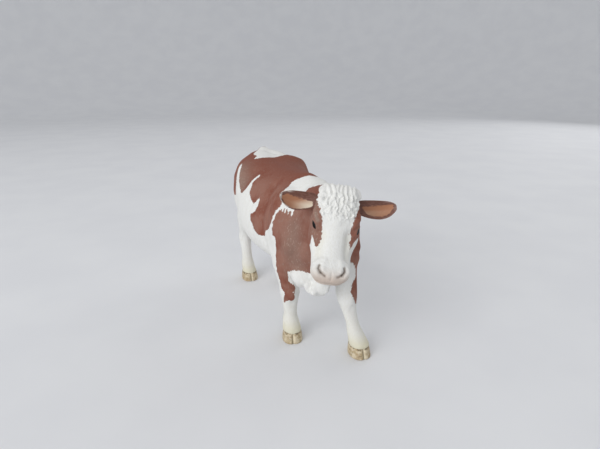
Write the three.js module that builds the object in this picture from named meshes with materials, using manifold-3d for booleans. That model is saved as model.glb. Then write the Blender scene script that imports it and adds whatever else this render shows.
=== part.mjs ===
// Cow figurine: a painted animal ornament, moulded in separate pieces that plug together on pegs.
// Millimetres, +Z up. The nose points to -Y and the animal's right side is -X.
// The torso carries the neck, the legs, the tail and the udder; the neck carries the head and its ears;
// each leg carries its hoof. Every peg seats in a socket of its own size with a glue gap all round.
import * as THREE from "three";
import { mergeVertices } from "three/addons/utils/BufferGeometryUtils.js";
import Module from "manifold-3d";

const wasm = await Module();
wasm.setup();

// Fits between the mouldings
const GLUE_GAP = 0.3;
const PEG_SIDES = 16;

// Fineness of the moulded surfaces: points round a section, and sections between two stations
const TORSO_SIDES = 36;
const NECK_SIDES = 20;
const HEAD_SIDES = 20;
const LEG_SIDES = 14;
const HOOF_SIDES = 20;
const TAIL_SIDES = 10;
const UDDER_SIDES = 16;
const EAR_SIDES = 7;
const LUMP_SIDES = 16;
const LUMP_BANDS = 10;
const LOCK_SIDES = 8;
const LOCK_BANDS = 6;
const STEPS_BETWEEN_STATIONS = 2;
const TORSO_STEPS = 4;

// Length of the barrel, from the shoulders to the hips: the hindquarters keep their distance from the hips
const SHOULDER_Y = -28;
const BARREL_LENGTH = 57;
const HIP_Y = SHOULDER_Y + BARREL_LENGTH;

// Torso: upright sections from the chest to the rump. A roof of 1 is a round back, more is a sharper one
const BELLY_SQUARENESS = 0.88;
const TORSO_STATIONS = [
  { y: -45, top: 66, bottom: 43, half: 6.5, widest: 55, roof: 1 },
  { y: -43, top: 71, bottom: 38.5, half: 11.5, widest: 55, roof: 1.1 },
  { y: -38, top: 75.6, bottom: 35, half: 15.2, widest: 55, roof: 1.2 },
  { y: -28, top: 79, bottom: 33.4, half: 17.4, widest: 54, roof: 1.3 },
  { y: SHOULDER_Y + 0.25 * BARREL_LENGTH, top: 78.4, bottom: 32.2, half: 20, widest: 53, roof: 1.2 },
  { y: SHOULDER_Y + 0.53 * BARREL_LENGTH, top: 77.4, bottom: 31.6, half: 22.4, widest: 52, roof: 1.08 },
  { y: SHOULDER_Y + 0.77 * BARREL_LENGTH, top: 77.6, bottom: 32.6, half: 22.6, widest: 53, roof: 0.86 },
  { y: HIP_Y, top: 79.4, bottom: 36.6, half: 20.6, widest: 57, roof: 0.7 },
  { y: HIP_Y + 11, top: 80.6, bottom: 41.5, half: 18.4, widest: 60, roof: 0.86 },
  { y: HIP_Y + 20, top: 79.2, bottom: 46, half: 14.5, widest: 61, roof: 0.95 },
  { y: HIP_Y + 25, top: 75, bottom: 53, half: 8.5, widest: 63, roof: 1 },
  { y: HIP_Y + 26.5, top: 70, bottom: 58, half: 4, widest: 64, roof: 1 },
];
const TORSO_MASSES = {
  shoulderRight: { side: -1, x: 8.6, y: -28.5, z: 56, across: 9.8, along: 12, rise: 18, lean: 0.2 },
  shoulderLeft: { side: 1, x: 9.6, y: -37.5, z: 52, across: 10.2, along: 11, rise: 17.5, lean: 0.3 },
  thighRight: { side: -1, x: 9.6, y: HIP_Y + 12.5, z: 56, across: 9.6, along: 12.5, rise: 17.5, lean: -0.15 },
  thighLeft: { side: 1, x: 9.6, y: HIP_Y + 10.5, z: 56, across: 9.6, along: 12.5, rise: 17.5, lean: -0.1 },
};
// Bones and hollows on both sides, as swells of the barrel's skin that fade out at their reach: the hooks are
// the hip bones and the pins the seat bones. A swell below zero is a hollow
const TORSO_RELIEF = {
  withers: { x: 0, y: -30, z: 78.5, reach: 8, swell: 0.7 },
  hook: { x: 17.6, y: HIP_Y - 4.5, z: 72.4, reach: 7, swell: 1.9 },
  pin: { x: 7, y: HIP_Y + 22, z: 74.4, reach: 5.5, swell: 1.6 },
  tailHead: { x: 0, y: HIP_Y + 14.5, z: 80.8, reach: 7, swell: 1 },
  besideTail: { x: 11.5, y: HIP_Y + 12, z: 76.5, reach: 6, swell: -0.8 },
  flank: { x: 18.8, y: HIP_Y - 13, z: 67.6, reach: 8, swell: -1.7 },
  behindShoulder: { x: 18, y: -14.5, z: 60, reach: 9, swell: -1.2 },
  behindElbow: { x: 18.4, y: -17.5, z: 45, reach: 8, swell: -1 },
  frontOfThigh: { x: 20, y: HIP_Y - 5, z: 49, reach: 7, swell: -1.3 },
  stifle: { x: 18, y: HIP_Y + 2.5, z: 46, reach: 6, swell: 0.9 },
};

// Neck and dewlap: upright sections from inside the chest to inside the skull
const NECK_STATIONS = [
  { y: -36, x: 0, top: 75, bottom: 41, half: 12, widest: 58 },
  { y: -41, x: 0, top: 77.5, bottom: 38.5, half: 12.6, widest: 57 },
  { y: -46, x: -0.3, top: 78.6, bottom: 40, half: 11.6, widest: 58 },
  { y: -52, x: -0.9, top: 79.4, bottom: 49, half: 9.8, widest: 65 },
  { y: -57, x: -1.5, top: 79.2, bottom: 56, half: 8.2, widest: 67 },
  { y: -61, x: -2, top: 77, bottom: 60, half: 5.6, widest: 68 },
];
const DEWLAP_STATIONS = [
  { y: -31, x: -1, top: 42, bottom: 35.4, half: 6, widest: 39 },
  { y: -37, x: -2.4, top: 45, bottom: 32.4, half: 8.4, widest: 38 },
  { y: -42, x: -2, top: 50, bottom: 30, half: 7.6, widest: 37 },
  { y: -47, x: -1.2, top: 54, bottom: 28.6, half: 4.6, widest: 37 },
  { y: -51, x: -0.9, top: 60, bottom: 32, half: 3.4, widest: 42 },
  { y: -55, x: -1, top: 64, bottom: 43, half: 2.8, widest: 52 },
  { y: -59, x: -1.4, top: 64, bottom: 54, half: 2.2, widest: 58 },
];
// Clumps of curly hair on the brisket, fuller to the right of the middle
const BRISKET_MASSES = {
  side: { x: -7, y: -39.2, z: 37.4, across: 5.2, along: 5.6, rise: 6, lean: 0 },
  front: { x: -2.2, y: -44.6, z: 33.2, across: 5, along: 5, rise: 5.2, lean: 0 },
};
const NECK_PEG = { x: 0, z: 57, radius: 6, outside: 2.5, inside: 9 };

// Head: level sections of a head that hangs straight down and faces -Y, before it is turned
const HEAD_AT = { x: -2.5, y: -62.6, z: 72.1 };
const HEAD_TURN = { pitch: -27, roll: 9.8, yaw: -14 };
const HEAD_SQUARENESS = 0.8;
const HEAD_STATIONS = [
  { z: -28.6, front: -5, back: -0.6, half: 2.8, narrowing: 0 },
  { z: -27.6, front: -7, back: 1.6, half: 5, narrowing: 0.05 },
  { z: -25, front: -8.4, back: 3.4, half: 7, narrowing: 0.1 },
  { z: -21.5, front: -7.4, back: 4.6, half: 7, narrowing: 0.06 },
  { z: -17, front: -6.7, back: 6.6, half: 7.5, narrowing: 0 },
  { z: -12, front: -7, back: 9.4, half: 8.2, narrowing: 0.04 },
  { z: -6, front: -7.8, back: 10.6, half: 8.6, narrowing: 0.16 },
  { z: -1, front: -8.4, back: 9.8, half: 8.1, narrowing: 0.2 },
  { z: 3.5, front: -8.4, back: 7, half: 7.2, narrowing: 0.1 },
  { z: 6, front: -7.4, back: 4, half: 6.2, narrowing: 0 },
  { z: 7, front: -6, back: 1.5, half: 4.4, narrowing: 0 },
];
// Forelock: sections like the head's, that end in a point on the forehead, with locks of hair over them.
// Each row of locks spreads to both sides of the middle and bends back with the forehead
const FORELOCK_STATIONS = [
  { z: -7.5, front: -8, back: -5, half: 1.2, narrowing: 0 },
  { z: -5, front: -8.6, back: -4, half: 4, narrowing: 0 },
  { z: -2, front: -9.1, back: -3, half: 6.3, narrowing: 0 },
  { z: 1.5, front: -9.3, back: -2, half: 7.5, narrowing: 0 },
  { z: 4.5, front: -9.2, back: -1.5, half: 7.1, narrowing: 0 },
  { z: 6.2, front: -8.5, back: -1, half: 6.3, narrowing: 0 },
  { z: 7.2, front: -7.2, back: -0.6, half: 4.8, narrowing: 0 },
];
const LOCK = { across: 1.1, along: 1.2, rise: 2.7, lean: 0.1 };
const LOCK_ROWS = [
  { count: 7, spread: 5.8, y: -8.6, z: 3.9, bend: 1.5 },
  { count: 6, spread: 5.2, y: -8.6, z: -0.2, bend: 1.3 },
  { count: 3, spread: 2.2, y: -8, z: -3.8, bend: 0.2 },
];
const EYE = { x: 6.9, y: -5.2, z: -8, across: 1.1, along: 1.2, rise: 1.9, lean: 0.2 };
const NOSTRIL = { x: 3.9, y: -8.6, z: -24.2, across: 0.9, along: 1.6, rise: 1.7, lean: 0 };
const HEAD_PEG = { z: -2.5, back: 9.6, radius: 4, outside: 3, inside: 6 };

// Ears: leaf-shaped cups that open forwards, drawn along their own length
const EAR_ROOT = { x: 6.6, y: 0.6, z: 1.9 };
const EARS = [
  { name: "ear_right", side: -1, sweep: 9, droop: 0, stretch: 0.99 },
  { name: "ear_left", side: 1, sweep: 9, droop: -9, stretch: 1.06 },
];
const EAR_RIM_THINNING = 0.8;
const EAR_STATIONS = [
  { along: 0, up: 2.3, down: 2.3, cup: 0.1, wall: 1.6, fold: 0 },
  { along: 2.5, up: 2.8, down: 3, cup: 0.8, wall: 1.3, fold: 0.6 },
  { along: 5.5, up: 2.7, down: 3.8, cup: 1.6, wall: 0.8, fold: 1 },
  { along: 9, up: 2.6, down: 4.3, cup: 2, wall: 0.7, fold: 0.9 },
  { along: 12, up: 2.1, down: 3.4, cup: 1.6, wall: 0.6, fold: 0.6 },
  { along: 13.8, up: 1.3, down: 2, cup: 0.8, wall: 0.5, fold: 0.3 },
  { along: 15.1, up: 0.5, down: 0.7, cup: 0.2, wall: 0.4, fold: 0 },
];
const EAR_PEG = { radius: 1.2, outside: 2.6, inside: 3 };

// Hooves: each level is a share of the height, with the swell of its section there
const HOOF_HEIGHT = 5.4;
const HOOF = { across: 4.8, along: 5.8, lean: 1, cleftWidth: 0.7, cleftDepth: 1.6 };
const HOOF_LEVELS = [
  { share: 0, swell: 0.94 },
  { share: 0.15, swell: 0.985 },
  { share: 0.6, swell: 0.94 },
  { share: 1, swell: 0.9 },
];
const HOOF_PEG = { radius: 1.4, outside: 1.5, inside: 3.5 };

// Legs: level sections, up from the coronet, round a line that leans as the animal walks
const LEG_PEG = { radius: 2.4, foot: 30, top: 43.5, station: 9 };
const FORELEG_SHAPE = [
  { up: 0, across: 4.3, along: 5 },
  { up: 2, across: 3.9, along: 4.5 },
  { up: 4.6, across: 3.45, along: 4.2 },
  { up: 7.6, across: 3.1, along: 3.5 },
  { up: 12, across: 3.2, along: 3.4 },
  { up: 16, across: 3.6, along: 3.8 },
  { up: 19, across: 4.1, along: 4.4 },
  { up: 22.6, across: 4.2, along: 4.7 },
  { up: 27.6, across: 4.8, along: 5.9 },
  { up: 32.6, across: 5.4, along: 7.2 },
  { up: 38.6, across: 5.4, along: 7.6 },
  { up: 44.6, across: 4.6, along: 6.4 },
];
const REACHING_FORELEG_SHAPE = [
  { up: 0, across: 4.5, along: 5 },
  { up: 2, across: 4, along: 4.5 },
  { up: 4.6, across: 3.4, along: 4.2 },
  { up: 7.6, across: 3, along: 3.4 },
  { up: 12, across: 3.3, along: 3.4 },
  { up: 16, across: 4.1, along: 3.9 },
  { up: 19, across: 4.7, along: 4.5 },
  { up: 22.6, across: 5, along: 4.9 },
  { up: 27.6, across: 5.2, along: 5.8 },
  { up: 32.6, across: 5.4, along: 7 },
  { up: 38.6, across: 5.4, along: 7.4 },
  { up: 44.6, across: 4.6, along: 6.4 },
];
const HINDLEG_SHAPE = [
  { up: 0, across: 4.2, along: 4.9 },
  { up: 2, across: 3.8, along: 4.4 },
  { up: 4.6, across: 3.6, along: 4.3 },
  { up: 7.6, across: 3.2, along: 3.6 },
  { up: 12.6, across: 3.1, along: 3.6 },
  { up: 17.6, across: 3.4, along: 4.3 },
  { up: 21.6, across: 3.7, along: 5.1 },
  { up: 25.6, across: 3.9, along: 5.9 },
  { up: 30, across: 4.7, along: 7.7 },
  { up: 35.6, across: 5.7, along: 9.8 },
  { up: 41.6, across: 5.8, along: 10.4 },
  { up: 47.6, across: 5, along: 9 },
];

// Where each leg stands, and how far its line leans outwards and backwards from the hoof at each section
const LEGS = [
  {
    name: "foreleg_right",
    hoof: "fore_hoof_right",
    side: -1,
    x: 8.9,
    y: -30.7,
    shape: FORELEG_SHAPE,
    out: [0, 0, 0.1, 0.2, 0.4, 0.6, 0.8, 1.3, 2.2, 2.8, 2.9, 2.5],
    back: [0.6, 1.3, 2.2, 2.4, 2.1, 1.5, 1, 1.3, 1.8, 2.2, 2.2, 1.2],
  },
  {
    name: "foreleg_left",
    hoof: "fore_hoof_left",
    side: 1,
    x: 15.2,
    y: -53.2,
    shape: REACHING_FORELEG_SHAPE,
    out: [0, -0.3, -0.7, -1.1, -1.6, -1.7, -1.6, -1.4, -1.2, -1.1, -1.6, -2.4],
    back: [0.6, 1.7, 3.4, 5, 7.4, 9.2, 10.2, 11.4, 13, 14.4, 15.6, 16.2],
  },
  {
    name: "hindleg_right",
    hoof: "hind_hoof_right",
    side: -1,
    x: 10.8,
    y: HIP_Y + 16,
    shape: HINDLEG_SHAPE,
    out: [0, 0.3, 0.5, 0.6, 0.8, 0.9, 0.9, 1, 1.1, 1, 0.4, -0.2],
    back: [0.6, 1.2, 2.2, 2.8, 3.6, 4.6, 5, 3, 0, -3, -5, -5.5],
  },
  {
    name: "hindleg_left",
    hoof: "hind_hoof_left",
    side: 1,
    x: 11.6,
    y: HIP_Y + 3.5,
    shape: HINDLEG_SHAPE,
    out: [0, 0, 0, 0, 0, 0.1, 0.2, 0.4, 0.6, 0.6, 0, -0.6],
    back: [0.6, 1.4, 2.8, 4, 5.8, 8, 9.4, 8.6, 7, 6, 6, 6.4],
  },
];

// Tail: level sections from its root in the rump down to the switch of hair
const TAIL_STATIONS = [
  { z: 78, y: HIP_Y + 22.5, across: 2.6, along: 2.4 },
  { z: 75.5, y: HIP_Y + 26, across: 2.5, along: 2.6 },
  { z: 71.5, y: HIP_Y + 28, across: 2.2, along: 2.3 },
  { z: 65, y: HIP_Y + 28.8, across: 1.9, along: 1.9 },
  { z: 54, y: HIP_Y + 28.6, across: 1.6, along: 1.6 },
  { z: 44, y: HIP_Y + 28.4, across: 1.6, along: 1.6 },
  { z: 37, y: HIP_Y + 28.6, across: 2.3, along: 2.2 },
  { z: 30, y: HIP_Y + 29, across: 2.8, along: 2.6 },
  { z: 25, y: HIP_Y + 29.2, across: 2, along: 1.9 },
  { z: 21.5, y: HIP_Y + 29.4, across: 0.7, along: 0.7 },
];
const TAIL_PEG = { z: 72, radius: 1.5, outside: 2.5, inside: 6 };

// Udder: level sections under the belly, with four teats
const UDDER_AT = { x: 0, y: HIP_Y - 2 };
const UDDER_STATIONS = [
  { z: 27.6, across: 3, along: 4 },
  { z: 28.6, across: 5.4, along: 7 },
  { z: 31.5, across: 7, along: 9.4 },
  { z: 35.5, across: 7.4, along: 10.4 },
  { z: 41, across: 7, along: 10 },
];
const TEAT = { x: 3, y: 4, radius: 0.9, tipRadius: 0.6, length: 3.2, sunk: 1.6, sides: 10 };
const UDDER_PEG = { radius: 3, outside: 3, inside: 6 };

// Paint
const COAT_WHITE = paint(0xe7e7e3, 0.62);
const COAT_BROWN = paint(0x956a5b, 0.62);
const EAR_BROWN = paint(0x65443a, 0.62);
const HOOF_HORN = paint(0xbcac86, 0.5);
const UDDER_PINK = paint(0xe6c4b8, 0.55);

function paint(color, roughness) {
  return new THREE.MeshStandardMaterial({ color, roughness, metalness: 0 });
}

/** Catmull-Rom value between b and c at t, with a and d as their neighbours. */
function between(a, b, c, d, t) {
  const bend = 2 * a - 5 * b + 4 * c - d;
  const twist = 3 * b - a - 3 * c + d;
  return b + 0.5 * t * (c - a + t * (bend + t * twist));
}

/** The stations with smoothly placed ones between them. */
function refine(stations, steps = STEPS_BETWEEN_STATIONS) {
  const last = stations.length - 1;
  const at = (i) => stations[THREE.MathUtils.clamp(i, 0, last)];
  const fine = [];
  for (let i = 0; i < last; i++)
    for (let k = 0; k < steps; k++) {
      const t = k / steps;
      const middle = {};
      for (const key of Object.keys(stations[i]))
        middle[key] = between(at(i - 1)[key], at(i)[key], at(i + 1)[key], at(i + 2)[key], t);
      fine.push(middle);
    }
  fine.push(stations[last]);
  return fine;
}

/** Cosine and sine on a rounded square: a squareness of 1 is a circle, and less is squarer. */
function roundedCorner(i, sides, squareness) {
  const angle = (2 * Math.PI * i) / sides;
  const soft = (v) => Math.sign(v) * Math.abs(v) ** squareness;
  return [soft(Math.cos(angle)), soft(Math.sin(angle))];
}

/** Upright section across Y, grown by the given margin. */
function uprightRing(s, sides, grow) {
  return Array.from({ length: sides }, (_, i) => {
    const squareness = 2 * i < sides ? (s.roof ?? 1) : BELLY_SQUARENESS;
    const [c, v] = roundedCorner(i, sides, squareness);
    const reach = v > 0 ? s.top - s.widest + grow : s.widest - s.bottom + grow;
    return new THREE.Vector3((s.x ?? 0) + c * (s.half + grow), s.y, s.widest + v * reach);
  });
}

/** Level section across Z, grown by the given margin. */
function levelRing(s, sides, grow = 0) {
  return Array.from({ length: sides }, (_, i) => {
    const [c, v] = roundedCorner(i, sides, 1);
    return new THREE.Vector3((s.x ?? 0) + c * (s.across + grow), s.y + v * (s.along + grow), s.z);
  });
}

/** Closed solid through the rings, with a fan over each end. The end fans move out by the margin. */
function ringStack(rings, endMargin = 0) {
  const sides = rings[0].length;
  const middleOf = (ring) => ring.reduce((sum, p) => sum.add(p), new THREE.Vector3()).divideScalar(sides);
  const middles = rings.map(middleOf);
  const first = middles[0].clone();
  const last = middles.at(-1).clone();
  first.add(middles[0].clone().sub(middles[1]).setLength(endMargin));
  last.add(middles.at(-1).clone().sub(middles.at(-2)).setLength(endMargin));
  const points = [...rings.flat(), first, last];
  const firstPole = points.length - 2;
  const lastPole = points.length - 1;
  const lastRing = (rings.length - 1) * sides;
  const triangles = [];
  for (let i = 0; i < sides; i++) {
    const next = (i + 1) % sides;
    for (let r = 0; r < rings.length - 1; r++) {
      const low = r * sides;
      const high = low + sides;
      triangles.push(low + i, low + next, high + next, low + i, high + next, high + i);
    }
    triangles.push(firstPole, next, i, lastPole, lastRing + i, lastRing + next);
  }
  return facingOut(points, triangles);
}

/** Indexed geometry whose faces point outwards. */
function facingOut(points, triangles) {
  let volume = 0;
  const crossed = new THREE.Vector3();
  for (let i = 0; i < triangles.length; i += 3) {
    crossed.crossVectors(points[triangles[i + 1]], points[triangles[i + 2]]);
    volume += points[triangles[i]].dot(crossed);
  }
  const index = volume < 0 ? triangles.reverse() : triangles;
  return new THREE.BufferGeometry().setFromPoints(points).setIndex(index);
}

/** The geometry as a solid that can be joined and cut. */
function solidOf(geometry, matrix = new THREE.Matrix4()) {
  const bare = new THREE.BufferGeometry().setAttribute("position", geometry.getAttribute("position").clone());
  bare.setIndex(geometry.index);
  const merged = mergeVertices(bare.applyMatrix4(matrix));
  return new wasm.Manifold(
    new wasm.Mesh({
      numProp: 3,
      vertProperties: new Float32Array(merged.getAttribute("position").array),
      triVerts: new Uint32Array(merged.index.array),
    }),
  );
}

/** Place and size of an ellipsoid, grown by the given margin. */
function lumpPlace(form, side = 1, grow = 0) {
  return new THREE.Matrix4().compose(
    new THREE.Vector3(side * form.x, form.y, form.z),
    new THREE.Quaternion().setFromEuler(new THREE.Euler(form.lean, 0, 0)),
    new THREE.Vector3(form.across + grow, form.along + grow, form.rise + grow),
  );
}

/** Ellipsoid for a muscle, an eye or a tuft, grown by the given margin. */
function lump(form, side = 1, grow = 0, matrix = new THREE.Matrix4()) {
  const place = matrix.clone().multiply(lumpPlace(form, side, grow));
  return solidOf(new THREE.SphereGeometry(1, LUMP_SIDES, LUMP_BANDS), place);
}

/** Round peg from one point to another, with the given extra radius and length. */
function peg(from, to, radius, margin = 0) {
  const line = to.clone().sub(from);
  const length = line.length() + margin;
  const centre = from.clone().add(line.clone().setLength(length / 2));
  const turn = new THREE.Quaternion().setFromUnitVectors(new THREE.Vector3(0, 1, 0), line.normalize());
  const place = new THREE.Matrix4().compose(centre, turn, new THREE.Vector3(1, 1, 1));
  return solidOf(new THREE.CylinderGeometry(radius + margin, radius + margin, length, PEG_SIDES), place);
}

/** The largest of the bodies that a cut leaves. */
function mainBody(solid) {
  return solid.decompose().reduce((best, body) => (body.volume() > best.volume() ? body : best));
}

/** Named mesh of a solid. */
function piece(name, solid, material) {
  const { vertProperties, triVerts } = solid.getMesh();
  const geometry = new THREE.BufferGeometry();
  geometry.setAttribute("position", new THREE.BufferAttribute(vertProperties, 3));
  geometry.setIndex(new THREE.BufferAttribute(triVerts, 1));
  geometry.computeVertexNormals();
  const mesh = new THREE.Mesh(geometry, material);
  mesh.name = name;
  return mesh;
}

/** Height of the belly at a place along the torso. */
function bellyAt(y) {
  const stations = refine(TORSO_STATIONS, TORSO_STEPS);
  const i = stations.findIndex((s) => s.y >= y);
  const [before, after] = [stations[i - 1], stations[i]];
  return THREE.MathUtils.mapLinear(y, before.y, after.y, before.bottom, after.bottom);
}

/** How far the bones and hollows move the torso's skin at a point of it. */
function reliefAt(point) {
  return Object.values(TORSO_RELIEF).reduce((sum, { x, y, z, reach, swell }) => {
    const away = Math.hypot(Math.abs(point.x) - x, point.y - y, point.z - z) / reach;
    return away < 1 ? sum + swell * (1 - away ** 2) ** 2 : sum;
  }, 0);
}

/** Section of the torso with its bones and hollows. */
function torsoRing(s, grow) {
  const grown = uprightRing(s, TORSO_SIDES, grow);
  return uprightRing(s, TORSO_SIDES, 0).map((point, i) => {
    const outwards = new THREE.Vector3(point.x, 0, point.z - s.widest).normalize();
    return grown[i].addScaledVector(outwards, reliefAt(point));
  });
}

/** Torso with its shoulder and thigh masses. */
function torsoForm(grow = 0, matrix = undefined) {
  const rings = refine(TORSO_STATIONS, TORSO_STEPS).map((s) => torsoRing(s, grow));
  let form = solidOf(ringStack(rings, grow), matrix);
  for (const mass of Object.values(TORSO_MASSES)) form = form.add(lump(mass, mass.side, grow, matrix));
  return form;
}

/** Neck with the dewlap that hangs from it and the hair of the brisket. */
function neckForm() {
  const neck = refine(NECK_STATIONS).map((s) => uprightRing(s, NECK_SIDES, 0));
  const dewlap = refine(DEWLAP_STATIONS).map((s) => uprightRing(s, NECK_SIDES, 0));
  let form = solidOf(ringStack(neck)).add(solidOf(ringStack(dewlap)));
  for (const mass of Object.values(BRISKET_MASSES)) form = form.add(lump(mass));
  return form;
}

/** Level section of the head: narrower towards the jaw than across the face. */
function headRing(s, grow) {
  const depth = (s.back - s.front) / 2 + grow;
  const middle = (s.back + s.front) / 2;
  return Array.from({ length: HEAD_SIDES }, (_, i) => {
    const [c, v] = roundedCorner(i, HEAD_SIDES, HEAD_SQUARENESS);
    return new THREE.Vector3(c * (s.half + grow) * (1 - s.narrowing * v), middle + v * depth, s.z);
  });
}

/** Skull with the forelock's mass, seen from the frame that the matrix leads to. */
function skullForm(grow, matrix) {
  const [skull, forelock] = [HEAD_STATIONS, FORELOCK_STATIONS].map((stations) => {
    const rings = refine(stations).map((s) => headRing(s, grow));
    return solidOf(ringStack(rings, grow), matrix);
  });
  return skull.add(forelock);
}

/** Locks of hair over the forelock, in the head's frame. */
function lockForms() {
  return LOCK_ROWS.flatMap(({ count, spread, y, z, bend }) =>
    Array.from({ length: count }, (_, i) => {
      const share = (2 * i) / (count - 1) - 1;
      const place = lumpPlace({ ...LOCK, x: spread * share, y: y + bend * share * share, z });
      return solidOf(new THREE.SphereGeometry(1, LOCK_SIDES, LOCK_BANDS), place);
    }),
  );
}

/** Head with its forelock, eyes and nostrils, in its own frame. */
function headForm() {
  let form = skullForm(0);
  for (const lock of lockForms()) form = form.add(lock);
  for (const side of [-1, 1]) form = form.add(lump(EYE, side)).subtract(lump(NOSTRIL, side));
  return form;
}

/** Points across one side of an ear section: its back where face is 1, its hollow where face is -1. */
function earSide(s, ear, face) {
  return Array.from({ length: EAR_SIDES }, (_, i) => {
    const v = face * ((2 * i) / (EAR_SIDES - 1) - 1);
    const wall = s.wall * Math.sqrt(1 - EAR_RIM_THINNING * v * v);
    const middle = s.cup * (1 - v * v) - s.fold * Math.max(v, 0) ** 2;
    const height = (s.up - s.down + v * (s.up + s.down)) / 2;
    return new THREE.Vector3(ear.side * ear.stretch * s.along, middle + face * wall, height);
  });
}

/** Leaf-shaped ear that runs outwards along X and is cupped towards -Y, in its own frame. */
function earForm(ear) {
  const rings = refine(EAR_STATIONS).map((s) => [...earSide(s, ear, 1), ...earSide(s, ear, -1)]);
  return solidOf(ringStack(rings));
}

/** Leg from its coronet to its top inside the torso, seen from the frame that the matrix leads to. */
function legForm(leg, grow, matrix) {
  const stations = leg.shape.map(({ up, across, along }, i) => ({
    x: leg.side * leg.out[i],
    y: leg.back[i],
    z: HOOF_HEIGHT + up,
    across,
    along,
  }));
  return solidOf(ringStack(refine(stations).map((s) => levelRing(s, LEG_SIDES, grow)), grow), matrix);
}

/** Ends of a leg's peg, in the frame of its hoof. */
function legPegEnds(leg) {
  const x = leg.side * leg.out[LEG_PEG.station];
  const y = leg.back[LEG_PEG.station];
  return [LEG_PEG.foot, LEG_PEG.top].map((up) => new THREE.Vector3(x, y, HOOF_HEIGHT + up));
}

/** Cloven hoof with a flat sole, in its own frame. */
function hoofForm() {
  const height = HOOF_HEIGHT - GLUE_GAP;
  const rings = HOOF_LEVELS.map(({ share, swell }) => {
    const level = { y: HOOF.lean * share, z: height * share };
    return levelRing({ ...level, across: HOOF.across * swell, along: HOOF.along * swell }, HOOF_SIDES);
  });
  const cleft = new THREE.BoxGeometry(HOOF.cleftWidth, 2 * HOOF.cleftDepth, 3 * HOOF_HEIGHT);
  cleft.translate(0, -HOOF.along, 0);
  return solidOf(ringStack(rings)).subtract(solidOf(cleft));
}

/** Tail from its root to the end of its switch. */
function tailForm() {
  return solidOf(ringStack(refine(TAIL_STATIONS).map((s) => levelRing(s, TAIL_SIDES))));
}

/** Udder with its four teats. */
function udderForm() {
  const rings = UDDER_STATIONS.map((s) => levelRing({ ...s, ...UDDER_AT }, UDDER_SIDES));
  let form = solidOf(ringStack(rings));
  const floor = UDDER_STATIONS[0].z;
  for (const across of [-1, 1])
    for (const along of [-1, 1]) {
      const length = TEAT.length + TEAT.sunk;
      const teat = new THREE.CylinderGeometry(TEAT.radius, TEAT.tipRadius, length, TEAT.sides);
      teat.rotateX(Math.PI / 2);
      const z = floor + TEAT.sunk - length / 2;
      teat.translate(UDDER_AT.x + across * TEAT.x, UDDER_AT.y + along * TEAT.y, z);
      form = form.add(solidOf(teat));
    }
  return form;
}

/** Frame of one leg: the middle of its hoof on the ground. */
function legFrame(leg) {
  const frame = new THREE.Group();
  frame.position.set(leg.side * leg.x, leg.y, 0);
  frame.updateMatrix();
  return frame;
}

/** Frame of the head, turned as the animal looks round. */
function headFrame() {
  const frame = new THREE.Group();
  frame.position.set(HEAD_AT.x, HEAD_AT.y, HEAD_AT.z);
  const { pitch, roll, yaw } = HEAD_TURN;
  frame.rotation.set(...[pitch, roll, yaw].map(THREE.MathUtils.degToRad), "ZXY");
  frame.updateMatrix();
  return frame;
}

/** Frame of one ear, in the frame of the head. */
function earFrame(ear) {
  const frame = new THREE.Group();
  frame.position.set(ear.side * EAR_ROOT.x, EAR_ROOT.y, EAR_ROOT.z);
  const [droop, sweep] = [ear.droop, ear.sweep].map((angle) => ear.side * THREE.MathUtils.degToRad(angle));
  frame.rotation.set(0, droop, -sweep, "ZYX");
  frame.updateMatrix();
  return frame;
}

const figure = new THREE.Group();
const torsoSeat = torsoForm(GLUE_GAP);
let torso = torsoForm();

// Legs and hooves
const legFrames = new Map();
for (const leg of LEGS) {
  const frame = legFrame(leg);
  legFrames.set(leg, frame);
  figure.add(frame);
  const [foot, top] = legPegEnds(leg);
  const torsoSeatHere = torsoForm(GLUE_GAP, frame.matrix.clone().invert());
  const hoofPegFoot = new THREE.Vector3(0, HOOF.lean, HOOF_HEIGHT - HOOF_PEG.outside);
  const hoofPegTop = new THREE.Vector3(0, HOOF.lean, HOOF_HEIGHT + HOOF_PEG.inside);
  const limb = mainBody(legForm(leg, 0).subtract(torsoSeatHere))
    .add(peg(foot, top, LEG_PEG.radius))
    .subtract(peg(hoofPegFoot, hoofPegTop, HOOF_PEG.radius, GLUE_GAP));
  frame.add(piece(leg.name, limb, COAT_WHITE));
  frame.add(piece(leg.hoof, hoofForm().add(peg(hoofPegFoot, hoofPegTop, HOOF_PEG.radius)), HOOF_HORN));
  const socket = [foot, top].map((p) => p.clone().add(frame.position));
  torso = torso.subtract(peg(...socket, LEG_PEG.radius, GLUE_GAP));
}

// Head and ears
const skull = headFrame();
figure.add(skull);
let head = headForm();
for (const ear of EARS) {
  const frame = earFrame(ear);
  skull.add(frame);
  const ends = [EAR_PEG.outside, -EAR_PEG.inside].map((x) => new THREE.Vector3(ear.side * x, 0, 0));
  const leaf = mainBody(earForm(ear).subtract(skullForm(GLUE_GAP, frame.matrix.clone().invert())));
  frame.add(piece(ear.name, leaf.add(peg(...ends, EAR_PEG.radius)), EAR_BROWN));
  const socket = ends.map((p) => p.clone().applyMatrix4(frame.matrix));
  head = head.subtract(peg(...socket, EAR_PEG.radius, GLUE_GAP));
}
const headPeg = [HEAD_PEG.back - HEAD_PEG.outside, HEAD_PEG.back + HEAD_PEG.inside].map(
  (y) => new THREE.Vector3(0, y, HEAD_PEG.z),
);
skull.add(piece("head", head.add(peg(...headPeg, HEAD_PEG.radius)), COAT_WHITE));

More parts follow.
